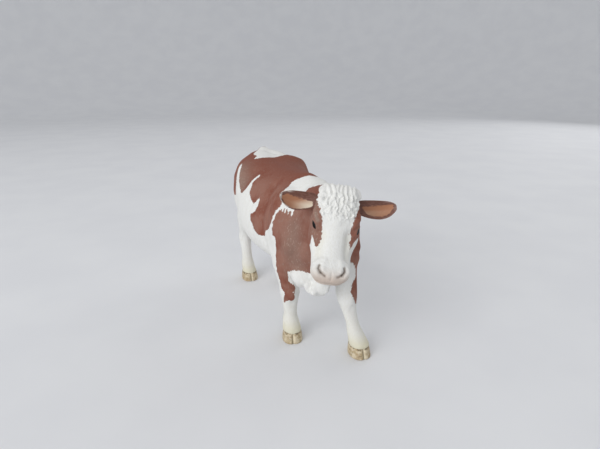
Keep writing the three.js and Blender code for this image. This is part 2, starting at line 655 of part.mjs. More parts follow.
// Neck
const chestFront = TORSO_STATIONS[0].y;
const neckPeg = [chestFront - NECK_PEG.outside, chestFront + NECK_PEG.inside].map(
  (y) => new THREE.Vector3(NECK_PEG.x, y, NECK_PEG.z),
);
let neck = neckForm().subtract(torsoSeat).subtract(skullForm(GLUE_GAP, skull.matrix));
for (const leg of LEGS) neck = neck.subtract(legForm(leg, GLUE_GAP, legFrames.get(leg).matrix));
neck = mainBody(neck)
  .add(peg(...neckPeg, NECK_PEG.radius))
  .subtract(peg(...headPeg.map((p) => p.clone().applyMatrix4(skull.matrix)), HEAD_PEG.radius, GLUE_GAP));
figure.add(piece("neck", neck, COAT_BROWN));
torso = torso.subtract(peg(...neckPeg, NECK_PEG.radius, GLUE_GAP));

// Tail
const rumpBack = TORSO_STATIONS.at(-1).y;
const tailPeg = [rumpBack + TAIL_PEG.outside, rumpBack - TAIL_PEG.inside].map(
  (y) => new THREE.Vector3(0, y, TAIL_PEG.z),
);
const tail = mainBody(tailForm().subtract(torsoSeat)).add(peg(...tailPeg, TAIL_PEG.radius));
figure.add(piece("tail", tail, COAT_WHITE));
torso = torso.subtract(peg(...tailPeg, TAIL_PEG.radius, GLUE_GAP));

// Udder
const udderSeat = bellyAt(UDDER_AT.y);
const udderPeg = [udderSeat - UDDER_PEG.outside, udderSeat + UDDER_PEG.inside].map(
  (z) => new THREE.Vector3(UDDER_AT.x, UDDER_AT.y, z),
);
let udder = udderForm().subtract(torsoSeat);
for (const leg of LEGS) udder = udder.subtract(legForm(leg, GLUE_GAP, legFrames.get(leg).matrix));
figure.add(piece("udder", mainBody(udder).add(peg(...udderPeg, UDDER_PEG.radius)), UDDER_PINK));
torso = torso.subtract(peg(...udderPeg, UDDER_PEG.radius, GLUE_GAP));
figure.add(piece("torso", torso, COAT_BROWN));

// The part's origin is on the ground, under the middle of the figure
const cow = new THREE.Group();
cow.add(figure);
const middle = new THREE.Box3().setFromObject(figure, true).getCenter(new THREE.Vector3());
figure.position.set(-middle.x, -middle.y, 0);

export default cow;
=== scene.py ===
"""Painted cow figurine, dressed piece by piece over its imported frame.

The figure is sculpted in millimetres, with its nose towards -Y and its right side towards -X. Smooth lofts
are fused into one skin, which is relaxed, tooled, parted into the pieces of the frame and painted. Ears,
hooves, tail and udder are made on their own.
"""

from __future__ import annotations

import logging
import math
from collections.abc import Callable, Iterable, Iterator, Sequence
from contextlib import contextmanager
from dataclasses import dataclass, field, replace
from enum import Enum

import bmesh
import bpy
import numpy as np
from mathutils import Euler, Matrix, Vector
from mathutils.kdtree import KDTree

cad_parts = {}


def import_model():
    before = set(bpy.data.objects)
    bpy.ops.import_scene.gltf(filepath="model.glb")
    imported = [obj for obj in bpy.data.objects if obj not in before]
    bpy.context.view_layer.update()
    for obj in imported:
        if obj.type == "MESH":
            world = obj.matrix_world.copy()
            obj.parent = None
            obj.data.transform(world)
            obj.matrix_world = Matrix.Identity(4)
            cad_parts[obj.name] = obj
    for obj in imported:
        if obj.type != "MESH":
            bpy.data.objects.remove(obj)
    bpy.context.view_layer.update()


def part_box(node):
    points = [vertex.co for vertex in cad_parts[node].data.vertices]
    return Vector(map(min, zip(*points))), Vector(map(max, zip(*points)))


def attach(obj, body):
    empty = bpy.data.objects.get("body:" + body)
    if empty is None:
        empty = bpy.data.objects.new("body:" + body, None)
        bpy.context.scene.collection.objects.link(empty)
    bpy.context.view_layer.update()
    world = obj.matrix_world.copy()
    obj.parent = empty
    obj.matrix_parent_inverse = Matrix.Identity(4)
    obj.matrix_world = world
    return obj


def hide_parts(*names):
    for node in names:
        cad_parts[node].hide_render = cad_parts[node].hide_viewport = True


LOG = logging.getLogger("cow")

MM = 0.001
BODY = "root"
# Colour sockets of a mix node
MIX_INPUTS = slice(6, 8)
MIX_RESULT = 2
# Heights between which the brown deepens
DEEPENING = (68, 78)
# Depth that stands for a place far inside or outside an outline
FAR = 9.0

Array = np.ndarray
Point = tuple[float, float, float]
Place = tuple[float, float]
Path = tuple[Point, ...]
Outline = tuple[Place, ...]
Rows = tuple[tuple[float, ...], ...]
Colour = tuple[float, float, float]


class Slot(Enum):
    """Material slots of the record."""

    COAT_WHITE = "coat_white"
    COAT_BROWN = "coat_brown"
    EAR_BROWN = "ear_brown"
    HOOF_HORN = "hoof_horn"
    UDDER_PINK = "udder_pink"


class Side(Enum):
    """Sides of the animal, with the sign of their X."""

    RIGHT = -1
    LEFT = 1


class Field(Enum):
    """Painted fields that each vertex carries to its paint."""

    COAT = "coat"
    # Cream wash low on the legs and on the tail, and painted shade beside the nose
    WASH_AND_SHADE = "wash"
    BLUSH = "blush"
    DARK = "dark"
    EYE = "eye"
    # Dusty dry brushing, and painted sheen on the right hip and the right brow
    DRYBRUSH_AND_SHEEN = "drybrush_and_sheen"
    DEEP = "deep"
    HOLLOW = "hollow"
    # Warmth of an ear's hollow, which under its upper rim is painted shade
    WARMTH_AND_SHADE = "reach"
    GROOVE = "groove"
    PALE = "pale"


def refine(rows: Rows, steps: int) -> Array:
    """Adds smooth steps between the rows of a table.

    Args:
        rows: Stations, each a row of numbers.
        steps: Steps from one row to the next.

    Returns:
        The finer table, which passes through every given row.
    """
    table = np.array(rows, float)
    padded = np.vstack([table[:1], table, table[-1:]])
    fine = []
    for a, b, c, d in zip(padded, padded[1:], padded[2:], padded[3:]):
        for t in np.arange(steps) / steps:
            bend = 2 * a - 5 * b + 4 * c - d
            twist = 3 * b - a - 3 * c + d
            fine.append(b + 0.5 * t * (c - a + t * (bend + t * twist)))
    fine.append(table[-1])
    return np.array(fine)


def soft_circle(sides: int, squareness: float, under: float | None = None) -> tuple[Array, Array]:
    """Cosines and sines on a rounded square.

    Args:
        sides: Points round the section.
        squareness: 1 is a circle, less is squarer and more is sharper.
        under: Squareness of the lower half, where it differs.

    Returns:
        The cosines and the sines.
    """
    angle = np.arange(sides) * 2 * math.pi / sides
    cos, sin = np.cos(angle), np.sin(angle)
    power = np.where(2 * np.arange(sides) < sides, squareness, squareness if under is None else under)
    return np.sign(cos) * np.abs(cos) ** power, np.sign(sin) * np.abs(sin) ** power


def bell(distance: Array | float, radius: float) -> Array:
    """Bell curve that falls from 1 to about 0 at twice the radius."""
    return np.exp(-((distance / radius) ** 2))


def ramp(value: Array | float, start: float, end: float) -> Array:
    """Smooth step from 0 at the start to 1 at the end."""
    share = np.clip((value - start) / (end - start), 0.0, 1.0)
    return share * share * (3 - 2 * share)


def path_distance(points: Array, path: Array) -> Array:
    """Distance of points from a path.

    Args:
        points: Places, one a row.
        path: Corners of the path, one a row. A single corner is a dot.

    Returns:
        One distance for each point.
    """
    ends = path[1:] if len(path) > 1 else path
    best = np.full(len(points), np.inf)
    for a, b in zip(path, ends):
        line = b - a
        share = np.clip((points - a) @ line / max(line @ line, 1e-9), 0.0, 1.0)
        gap = points - a - share[:, None] * line
        best = np.minimum(best, (gap * gap).sum(1))
    return np.sqrt(best)


def columns(at: Array | float, table: Array, *numbers: int) -> tuple[Array, ...]:
    """Columns of a table, read off where its first column has the given values."""
    return tuple(np.interp(at, table[:, 0], table[:, number]) for number in numbers)


def ring_of(x: Array | float, y: Array | float, z: Array | float) -> Array:
    """Ring of points from their coordinates, where a single number counts for all of them."""
    return np.column_stack(np.broadcast_arrays(x, y, z))


def moved(points: Array, frame: Matrix | Array) -> Array:
    """Points taken through a matrix of four by four."""
    turn = np.array(frame)
    return points @ turn[:3, :3].T + turn[:3, 3]


def placed(name: str, data: bpy.types.ID) -> bpy.types.Object:
    """Puts a new object into the scene.

    Args:
        name: Its name.
        data: Its mesh, light or camera.

    Returns:
        The object.
    """
    thing = bpy.data.objects.new(name, data)
    bpy.context.scene.collection.objects.link(thing)
    return thing


@contextmanager
def opened(mesh: bpy.types.Mesh) -> Iterator[bmesh.types.BMesh]:
    """Opens a mesh for work on its faces, and writes it back afterwards.

    Args:
        mesh: The mesh.

    Yields:
        Its points, edges and faces.
    """
    bm = bmesh.new()
    bm.from_mesh(mesh)
    yield bm
    bm.to_mesh(mesh)
    bm.free()


def search_tree(places: Array) -> KDTree:
    """Makes a search tree.

    Args:
        places: Places, one a row.

    Returns:
        The tree, ready to be searched.
    """
    tree = KDTree(len(places))
    for i, place in enumerate(places):
        tree.insert(place, i)
    tree.balance()
    return tree


def inside_distance(points: Array, outline: Sequence[Place]) -> Array:
    """Signed distance of points from a closed outline, positive inside it.

    Args:
        points: Places in the outline's plane, one a row.
        outline: Corners of the outline, in order.

    Returns:
        One signed distance for each point.
    """
    px, py = points[:, 0], points[:, 1]
    best = np.full(len(points), np.inf)
    inside = np.zeros(len(points), bool)
    corners = np.array(outline, float)
    for (ax, ay), (bx, by) in zip(corners, np.roll(corners, -1, axis=0)):
        dx, dy = bx - ax, by - ay
        share = np.clip(((px - ax) * dx + (py - ay) * dy) / max(dx * dx + dy * dy, 1e-9), 0.0, 1.0)
        best = np.minimum(best, (px - ax - share * dx) ** 2 + (py - ay - share * dy) ** 2)
        if dy:
            inside ^= ((ay > py) != (by > py)) & (px < dx * (py - ay) / dy + ax)
    return np.where(inside, 1.0, -1.0) * np.sqrt(best)


class Mould:
    """Closed forms in one bmesh, in millimetres."""

    def __init__(self) -> None:
        """Starts with nothing in the mould."""
        self.bm = bmesh.new()

    def loft(self, rings: Iterable[Array]) -> None:
        """Adds a closed form through rings of points.

        Args:
            rings: Rings with the same number of points, from one end to the other.
        """
        before: list[bmesh.types.BMEdge] = []
        ends = []
        for ring in rings:
            verts = bmesh.ops.create_circle(self.bm, segments=len(ring), radius=1.0)["verts"]
            for vert, place in zip(verts, ring):
                vert.co = place
            edges = list({edge for vert in verts for edge in vert.link_edges})
            if before:
                bmesh.ops.bridge_loops(self.bm, edges=before + edges)
            else:
                ends += edges
            before = edges
        bmesh.ops.holes_fill(self.bm, edges=ends, sides=0)
        bmesh.ops.holes_fill(self.bm, edges=before, sides=0)

    def lump(self, place: Matrix) -> None:
        """Adds a ball of radius 1, placed and stretched by a matrix."""
        bmesh.ops.create_icosphere(self.bm, subdivisions=4, radius=1.0, matrix=place)

    def plain(self, name: str) -> bpy.types.Mesh:
        """Turns all faces outwards and empties the mould.

        Args:
            name: Name of the mesh.

        Returns:
            The forms as a mesh.
        """
        bmesh.ops.recalc_face_normals(self.bm, faces=self.bm.faces)
        mesh = bpy.data.meshes.new(name)
        self.bm.to_mesh(mesh)
        self.bm.free()
        return mesh

    def modified(self, name: str, kind: str, settings: dict[str, object]) -> bpy.types.Mesh:
        """The forms after one modifier.

        Args:
            name: Name of the mesh.
            kind: Type of the modifier.
            settings: Its settings.

        Returns:
            The finished mesh.
        """
        rough = self.plain(name + "_rough")
        holder = placed(name, rough)
        modifier = holder.modifiers.new(name, kind)
        for key, value in settings.items():
            setattr(modifier, key, value)
        shown = holder.evaluated_get(bpy.context.evaluated_depsgraph_get())
        mesh = bpy.data.meshes.new_from_object(shown)
        mesh.name = name
        bpy.data.objects.remove(holder)
        bpy.data.meshes.remove(rough)
        return mesh

    def fused(self, name: str, voxel: float) -> bpy.types.Mesh:
        """The forms fused into one skin of even squares."""
        return self.modified(name, "REMESH", {"mode": "VOXEL", "voxel_size": voxel})

    def rounded(self, name: str, levels: int) -> bpy.types.Mesh:
        """The forms under a subdivision surface."""
        return self.modified(name, "SUBSURF", {"levels": levels, "render_levels": levels})


@dataclass(frozen=True)
class Stroke:
    """One pass of a rounded sculpting tool along a path."""

    path: Path
    radius: float
    rise: float
    mirrored: bool = True

    def paths(self) -> list[Array]:
        """The path, and its mirror image where the stroke is on both sides."""
        path = np.array(self.path, float)
        return [path, path * (-1, 1, 1)] if self.mirrored else [path]


@dataclass(frozen=True)
class Cut:
    """Plane that parts a piece from the skin, in the piece's own room."""

    piece: str
    point: Point
    towards: Point
    room: Callable[[Array], Array]

    def beyond(self, points: Array) -> Array:
        """Which points are on the piece's side of the plane."""
        return (points - np.array(self.point)) @ np.array(self.towards) > 0


class Skin:
    """A mesh under the sculptor's tools, in millimetres of the figure."""

    # Radii from a stroke's path at which it has faded out
    FADE = 2.6

    def __init__(self, mesh: bpy.types.Mesh) -> None:
        """Takes up the mesh to be worked on."""
        self.mesh = mesh
        self.co = self._read(mesh.vertices, "co", 3)

    @staticmethod
    def _read(items: bpy.types.bpy_prop_collection, name: str, width: int, kind: type = np.float32) -> Array:
        """Reads one property of all items.

        Args:
            items: Vertices, edges or the like.
            name: The property.
            width: How many numbers it has.
            kind: Type of these numbers in the mesh.

        Returns:
            The values, a row for each item.
        """
        values = np.empty(len(items) * width, kind)
        items.foreach_get(name, values)
        return values.reshape(-1, width).astype(float if kind is np.float32 else int)

    def write(self) -> None:
        """Puts the moved points back into the mesh."""
        self.mesh.vertices.foreach_set("co", self.co.astype(np.float32).ravel())
        self.mesh.update()

    def normals(self) -> Array:
        """Outward direction at each point."""
        self.write()
        return self._read(self.mesh.vertex_normals, "vector", 3)

    def rim(self) -> Array:
        """Finds the points on open edges.

        Returns:
            True or false for each point.
        """
        sides = self._read(self.mesh.loops, "edge_index", 1, np.int32).ravel()
        uses = np.bincount(sides, minlength=len(self.mesh.edges))
        ends = self._read(self.mesh.edges, "vertices", 2, np.int32)
        found = np.zeros(len(self.co), bool)
        found[ends[uses == 1].ravel()] = True
        return found

    def relax(self, share: Array | float, rounds: int) -> None:
        """Evens the skin out.

        Args:
            share: How far each point goes to the middle of its neighbours in a round.
            rounds: Number of rounds.
        """
        a, b = self._read(self.mesh.edges, "vertices", 2, np.int32).T
        count = len(self.co)
        pull = np.broadcast_to(share, count)[:, None] * np.where(self.rim(), 0.0, 1.0)[:, None]
        degree = (np.bincount(a, minlength=count) + np.bincount(b, minlength=count))[:, None]
        for _ in range(rounds):
            total = np.empty_like(self.co)
            for axis in range(3):
                here = self.co[:, axis]
                total[:, axis] = np.bincount(a, here[b], count) + np.bincount(b, here[a], count)
            self.co += pull * (total / degree - self.co)
        self.write()

    def tool(self, strokes: Iterable[Stroke], frame: Matrix | None = None) -> None:
        """Raises and carves the skin.

        Args:
            strokes: Strokes to make, all along the directions that the skin has now.
            frame: Frame that the strokes' places are in, where it isn't the figure's.
        """
        out = self.normals()
        start = self.co.copy()
        for stroke in strokes:
            for path in stroke.paths():
                if frame is not None:
                    path = np.array([frame @ Vector(corner) for corner in path])
                reach = self.FADE * stroke.radius
                near = ((start > path.min(0) - reach) & (start < path.max(0) + reach)).all(1).nonzero()[0]
                touch = bell(path_distance(start[near], path), stroke.radius)
                self.co[near] += out[near] * (stroke.rise * touch)[:, None]
        self.write()

    def part(self, cuts: Sequence[Cut], rest: str) -> dict[str, bpy.types.Mesh]:
        """Parts the skin into open pieces that meet edge to edge.

        Args:
            cuts: Cuts, in the order in which they are made.
            rest: Name of what is left.

        Returns:
            The meshes by name.
        """
        with opened(self.mesh) as bm:
            label = bm.faces.layers.int.new("piece")
            for number, cut in enumerate(cuts, 1):
                faces = self._free_faces(bm, label, cut)
                edges = {edge for face in faces for edge in face.edges}
                verts = {vert for face in faces for vert in face.verts}
                plane = {"dist": 1e-4, "plane_co": cut.point, "plane_no": cut.towards}
                bmesh.ops.bisect_plane(bm, geom=[*verts, *edges, *faces], **plane)
                faces = self._free_faces(bm, label, cut)
                centres = np.array([face.calc_center_median() for face in faces])
                for face, beyond in zip(faces, cut.beyond(centres)):
                    if beyond:
                        face[label] = number
        names = [rest, *(cut.piece for cut in cuts)]
        return {name: self._one_piece(name, number) for number, name in enumerate(names)}

    @staticmethod
    def _free_faces(
        bm: bmesh.types.BMesh, label: bmesh.types.BMLayerItem, cut: Cut
    ) -> list[bmesh.types.BMFace]:
        """Finds the faces in a cut's room that no piece has yet.

        Args:
            bm: The skin.
            label: Layer with the number of each face's piece.
            cut: The cut.

        Returns:
            The faces.
        """
        faces = [face for face in bm.faces if not face[label]]
        held = cut.room(np.array([face.calc_center_median() for face in faces]))
        return [face for face, inside in zip(faces, held) if inside]

    def _one_piece(self, name: str, number: int) -> bpy.types.Mesh:
        """Copies one piece out of the parted skin.

        Args:
            name: Name of the piece.
            number: Number that its faces have.

        Returns:
            Its open mesh.
        """
        mesh = self.mesh.copy()
        mesh.name = name
        with opened(mesh) as bm:
            label = bm.faces.layers.int["piece"]
            others = [face for face in bm.faces if face[label] != number]
            bmesh.ops.delete(bm, geom=others, context="FACES")
            bm.faces.layers.int.remove(label)
        return mesh

    def store(self, values: dict[Field, Array | float]) -> None:
        """Keeps painted fields as attributes of the points.

        Args:
            values: Values by field, or one number for all points.
        """
        for name, value in values.items():
            attribute = self.mesh.attributes.new(name.value, "FLOAT", "POINT")
            attribute.data.foreach_set("value", np.broadcast_to(value, len(self.co)).astype(np.float32))


@dataclass(frozen=True)
class Bench:
    """Where finished pieces are set into the frame."""

    shift: Vector

    def set_out(
        self, mesh: bpy.types.Mesh, node: str, finish: bpy.types.Material, slot: Slot, sharp: float = 60.0
    ) -> bpy.types.Object:
        """Closes a mesh, moves it to its place in the frame and makes it a piece.

        Args:
            mesh: Mesh in millimetres of the figure.
            node: CAD node that the piece stands for, and the start of its name.
            finish: Its paint.
            slot: Its material slot in the record, which is not used.
            sharp: Angle in degrees from which an edge is a hard one.

        Returns:
            The piece.
        """
        with opened(mesh) as bm:
            open_edges = [edge for edge in bm.edges if edge.is_boundary]
            for edge in open_edges:
                edge.smooth = False
            if open_edges:
                bmesh.ops.holes_fill(bm, edges=open_edges, sides=0)
            for face in bm.faces:
                face.smooth = True
            for edge in bm.edges:
                if edge.is_manifold and edge.calc_face_angle(0.0) > math.radians(sharp):
                    edge.smooth = False
            bmesh.ops.translate(bm, vec=self.shift, verts=bm.verts)
            bmesh.ops.scale(bm, vec=(MM, MM, MM), verts=bm.verts)
        mesh.materials.clear()
        mesh.materials.append(finish)
        piece = placed("cow_" + node, mesh)
        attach(piece, BODY)
        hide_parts(node)
        triangles = sum(len(face.vertices) - 2 for face in mesh.polygons)
        LOG.info("%s: %d triangles", piece.name, triangles)
        return piece


class Recipe:
    """Node tree of one paint."""

    def __init__(self, name: str) -> None:
        """Starts a paint with its shader.

        Args:
            name: Name of the material.
        """
        self.material = bpy.data.materials.new(name)
        self.material.use_nodes = True
        self.tree = self.material.node_tree
        self.shader = self.tree.nodes["Principled BSDF"]
        self.coords = self.tree.nodes.new("ShaderNodeTexCoord").outputs["Object"]

    def feed(self, socket: bpy.types.NodeSocket, value: object) -> None:
        """Links a socket to another one, or sets its value.

        Args:
            socket: The socket to be fed.
            value: Another socket, a number or a colour.
        """
        if isinstance(value, bpy.types.NodeSocket):
            self.tree.links.new(value, socket)
        else:
            socket.default_value = value

    def attribute(self, name: Field) -> bpy.types.NodeSocket:
        """Reads a painted field of the mesh.

        Args:
            name: The field.

        Returns:
            The socket of its value.
        """
        node = self.tree.nodes.new("ShaderNodeAttribute")
        node.attribute_name = name.value
        return node.outputs["Fac"]

    def sum(self, kind: str, *values: object) -> bpy.types.NodeSocket:
        """Result of a math node.

        Args:
            kind: Its operation.
            *values: Numbers or sockets.

        Returns:
            The result's socket.
        """
        node = self.tree.nodes.new("ShaderNodeMath")
        node.operation = kind
        for socket, value in zip(node.inputs, values):
            self.feed(socket, value)
        return node.outputs[0]

    def times(self, *values: object) -> bpy.types.NodeSocket:
        """Product of two numbers or sockets."""
        return self.sum("MULTIPLY", *values)

    def plus(self, *values: object) -> bpy.types.NodeSocket:
        """Sum of two numbers or sockets."""
        return self.sum("ADD", *values)

    def ragged(self, name: Field, grain: bpy.types.NodeSocket, rag: float) -> bpy.types.NodeSocket:
        """A painted field whose edges a grain makes ragged, by so much to each side."""
        return self.plus(self.attribute(name), self.times(self.sum("SUBTRACT", grain, 0.5), 2 * rag))

    def step(self, value: object, start: float, end: float) -> bpy.types.NodeSocket:
        """Makes a smooth step of a value.

        Args:
            value: The value's socket.
            start: Where the step is 0.
            end: Where it is 1.

        Returns:
            The step's socket.
        """
        node = self.tree.nodes.new("ShaderNodeMapRange")
        node.interpolation_type = "SMOOTHSTEP"
        for name, given in (("Value", value), ("From Min", start), ("From Max", end)):
            self.feed(node.inputs[name], given)
        return node.outputs["Result"]

    def noise(
        self, size: float, stretch: Point = (1, 1, 1), turn: Point = (0, 0, 0), detail: float = 2.0
    ) -> bpy.types.NodeSocket:
        """Noise in the frame's space.

        Args:
            size: Size of its grains in millimetres.
            stretch: How many times longer a grain is along each axis.
            turn: Turn of those axes in degrees.
            detail: Finer layers on it.

        Returns:
            The socket of its value.
        """
        place = self.tree.nodes.new("ShaderNodeMapping")
        place.vector_type = "TEXTURE"
        place.inputs["Rotation"].default_value = [math.radians(angle) for angle in turn]
        place.inputs["Scale"].default_value = stretch
        self.feed(place.inputs["Vector"], self.coords)
        node = self.tree.nodes.new("ShaderNodeTexNoise")
        node.inputs["Scale"].default_value = 1.0 / (size * MM)
        node.inputs["Detail"].default_value = detail
        self.feed(node.inputs["Vector"], place.outputs["Vector"])
        return node.outputs["Fac"]

    def mix(self, share: object, base: object, over: object) -> bpy.types.NodeSocket:
        """Mixes two colours.

        Args:
            share: Share of the upper one.
            base: Lower colour.
            over: Upper colour.

        Returns:
            The mixed colour's socket.
        """
        node = self.tree.nodes.new("ShaderNodeMix")
        node.data_type = "RGBA"
        self.feed(node.inputs["Factor"], share)
        for socket, colour in zip(node.inputs[MIX_INPUTS], (base, over)):
            self.feed(socket, (*colour, 1.0) if isinstance(colour, tuple) else colour)
        return node.outputs[MIX_RESULT]

    def bump(self, height: bpy.types.NodeSocket, depth: float, strength: float) -> None:
        """Roughens the surface.

        Args:
            height: Socket of the height, from 0 to 1.
            depth: Millimetres between the two.
            strength: Share of the effect.
        """
        node = self.tree.nodes.new("ShaderNodeBump")
        node.inputs["Distance"].default_value = depth * MM
        node.inputs["Strength"].default_value = strength
        self.feed(node.inputs["Height"], height)
        self.feed(self.shader.inputs["Normal"], node.outputs["Normal"])

    def finish(self, colour: object, roughness: object, gloss: float = 0.35) -> bpy.types.Material:
        """Joins colour, roughness and gloss to the shader.

        Args:
            colour: Colour or its socket.
            roughness: Number or its socket.
            gloss: Specular level.

        Returns:
            The material.
        """
        self.feed(self.shader.inputs["Base Color"], colour)
        self.feed(self.shader.inputs["Roughness"], roughness)
        self.shader.inputs["Specular IOR Level"].default_value = gloss
        return self.material


@dataclass(frozen=True)
class CoatPaint:
    """Matte brown and white coat with a hair-like edge between them."""

    white: Colour = (0.8, 0.8, 0.775)
    cream: Colour = (0.7, 0.68, 0.61)
    brown: Colour = (0.295, 0.143, 0.106)
    deep_brown: Colour = (0.23, 0.079, 0.052)
    # Dusty brown of dry brushing, also the grey of painted sheen on the right hip and brow
    dusty_brown_and_sheen: Colour = (0.29, 0.212, 0.172)
    speck: Colour = (0.46, 0.37, 0.3)
    # Cream wash of the fetlocks, also painted shade beside the nose
    cream_wash_and_shade: Colour = (0.66, 0.61, 0.4)
    pink: Colour = (0.56, 0.45, 0.375)
    shadow: Colour = (0.2, 0.145, 0.115)
    black: Colour = (0.006, 0.005, 0.005)
    hair: float = 0.55
    hair_length: float = 4.5
    rag: float = 0.9
    roughness: float = 0.72
    eye_roughness: float = 0.16
    gloss: float = 0.14

    def mixed(self) -> bpy.types.Material:
        """Mixes the paint.

        Returns:
            Its material.
        """
        r = Recipe("coat_paint")
        hairs = r.noise(self.hair, (1, 1.3, self.hair_length), (18, 0, 0))
        clouds = r.noise(9.0, detail=3.0)
        streaks = r.noise(0.42, (1, 1, 5), (14, 0, 0))
        # Dry brushing, and painted sheen on the right hip and brow
        drybrush_and_sheen = r.attribute(Field.DRYBRUSH_AND_SHEEN)
        brown = r.mix(
            r.sum("MAXIMUM", r.step(clouds, 0.35, 0.65), r.attribute(Field.DEEP)), self.brown, self.deep_brown
        )
        brown = r.mix(r.times(r.step(hairs, 0.52, 0.8), 0.55), brown, self.dusty_brown_and_sheen)
        brown = r.mix(r.times(drybrush_and_sheen, r.step(clouds, 0.1, 0.6)), brown, self.dusty_brown_and_sheen)
        brown = r.mix(r.times(drybrush_and_sheen, r.step(streaks, 0.6, 0.68)), brown, self.speck)
        white = r.mix(r.times(r.step(hairs, 0.62, 0.3), 0.3), self.white, self.cream)
        # Cream wash on legs and tail, and painted shade beside the nose
        stain_and_shade = r.times(r.attribute(Field.WASH_AND_SHADE), r.plus(0.6, r.times(clouds, 0.5)))
        white = r.mix(stain_and_shade, white, self.cream_wash_and_shade)
        colour = r.mix(r.step(r.ragged(Field.COAT, hairs, self.rag), -0.12, 0.12), white, brown)
        colour = r.mix(r.attribute(Field.BLUSH), colour, self.pink)
        colour = r.mix(r.attribute(Field.DARK), colour, self.shadow)
        eye = r.step(r.attribute(Field.EYE), -0.06, 0.06)
        colour = r.mix(eye, colour, self.black)
        r.bump(hairs, 0.2, 0.8)
        roughness = r.sum("SUBTRACT", self.roughness, r.times(eye, self.roughness - self.eye_roughness))
        return r.finish(colour, roughness, self.gloss)


@dataclass(frozen=True)
class EarPaint:
    """Dark brown ear with an orange hollow that pales towards its root, and painted shade in the same orange
    under its upper rim.
    """

    brown: Colour = (0.165, 0.075, 0.056)
    light_brown: Colour = (0.23, 0.115, 0.088)
    # Orange of the tip, also painted shade under the upper rim of the hollow
    tip: Colour = (0.4, 0.185, 0.1)
    root: Colour = (0.76, 0.68, 0.54)
    fringe: Colour = (0.75, 0.7, 0.64)
    rag: float = 0.55
    roughness: float = 0.62

    def mixed(self) -> bpy.types.Material:
        """Mixes the paint.

        Returns:
            Its material.
        """
        r = Recipe("ear_paint")
        hairs = r.noise(0.4, (4, 1.2, 1), (0, 8, 0))
        # Warmth of the hollow, partly painted shade under its upper rim
        reach = r.ragged(Field.WARMTH_AND_SHADE, hairs, 0.12 * self.rag)
        inner = r.mix(r.step(reach, 0.05, 0.95), self.root, self.tip)
        outer = r.mix(r.step(hairs, 0.4, 0.7), self.brown, self.light_brown)
        colour = r.mix(r.step(r.ragged(Field.HOLLOW, hairs, self.rag), -0.12, 0.16), outer, inner)
        pale = r.times(r.attribute(Field.PALE), r.step(hairs, 0.3, 0.5))
        colour = r.mix(pale, colour, self.fringe)
        r.bump(hairs, 0.1, 0.6)
        return r.finish(colour, self.roughness)


@dataclass(frozen=True)
class HornPaint:
    """Satin horn with a dark wash in its grooves and a pale line in its cleft."""

    horn: Colour = (0.48, 0.38, 0.23)
    light_horn: Colour = (0.66, 0.57, 0.41)
    amber: Colour = (0.36, 0.24, 0.12)
    wash: Colour = (0.13, 0.095, 0.045)
    pale: Colour = (0.76, 0.68, 0.5)

    def mixed(self) -> bpy.types.Material:
        """Mixes the paint.

        Returns:
            Its material.
        """
        r = Recipe("horn_paint")
        streaks = r.noise(0.6, (3, 3, 0.7), (14, 10, 0))
        blots = r.noise(1.6, (1.4, 1.4, 0.7))
        flecks = r.noise(0.75, (1, 1, 1.7))
        groove = r.attribute(Field.GROOVE)
        colour = r.mix(r.step(blots, 0.38, 0.62), self.horn, self.light_horn)
        colour = r.mix(r.times(r.step(r.noise(2.6), 0.5, 0.66), 0.7), colour, self.amber)
        coronet = r.step(r.plus(r.times(groove, 0.42), flecks), 0.78, 0.92)
        strokes = r.times(r.step(streaks, 0.6, 0.66), r.step(groove, -0.9, 0.2))
        dirt = r.sum("MAXIMUM", coronet, r.times(strokes, 0.6))
        dirt = r.times(r.sum("MAXIMUM", dirt, r.attribute(Field.DARK)), 0.8)
        colour = r.mix(dirt, colour, self.wash)
        colour = r.mix(r.attribute(Field.PALE), colour, self.pale)
        r.bump(streaks, 0.1, 0.5)
        return r.finish(colour, r.plus(0.42, r.times(blots, 0.2)), 0.45)


@dataclass(frozen=True)
class UdderPaint:
    """Soft pink skin, rosier in random blots and at the teats."""

    pink: Colour = (0.76, 0.52, 0.45)
    rose: Colour = (0.6, 0.32, 0.27)

    def mixed(self) -> bpy.types.Material:
        """Mixes the paint.

        Returns:
            Its material.
        """
        r = Recipe("udder_paint")
        grain = r.noise(0.7, detail=3.0)
        blots = r.noise(4.0)
        share = r.plus(r.times(r.step(blots, 0.35, 0.7), 0.3), r.attribute(Field.DARK))
        colour = r.mix(share, self.pink, self.rose)
        r.bump(grain, 0.08, 0.5)
        return r.finish(colour, 0.55)


@dataclass(frozen=True)
class FloorPaint:
    """Plain pale floor."""

    pale: Colour = (0.8, 0.81, 0.825)
    shade: Colour = (0.77, 0.78, 0.8)

    def mixed(self) -> bpy.types.Material:
        """Mixes the paint.

        Returns:
            Its material.
        """
        r = Recipe("floor_paint")
        colour = r.mix(r.step(r.noise(60.0, detail=3.0), 0.3, 0.7), self.pale, self.shade)
        return r.finish(colour, 0.6, 0.25)


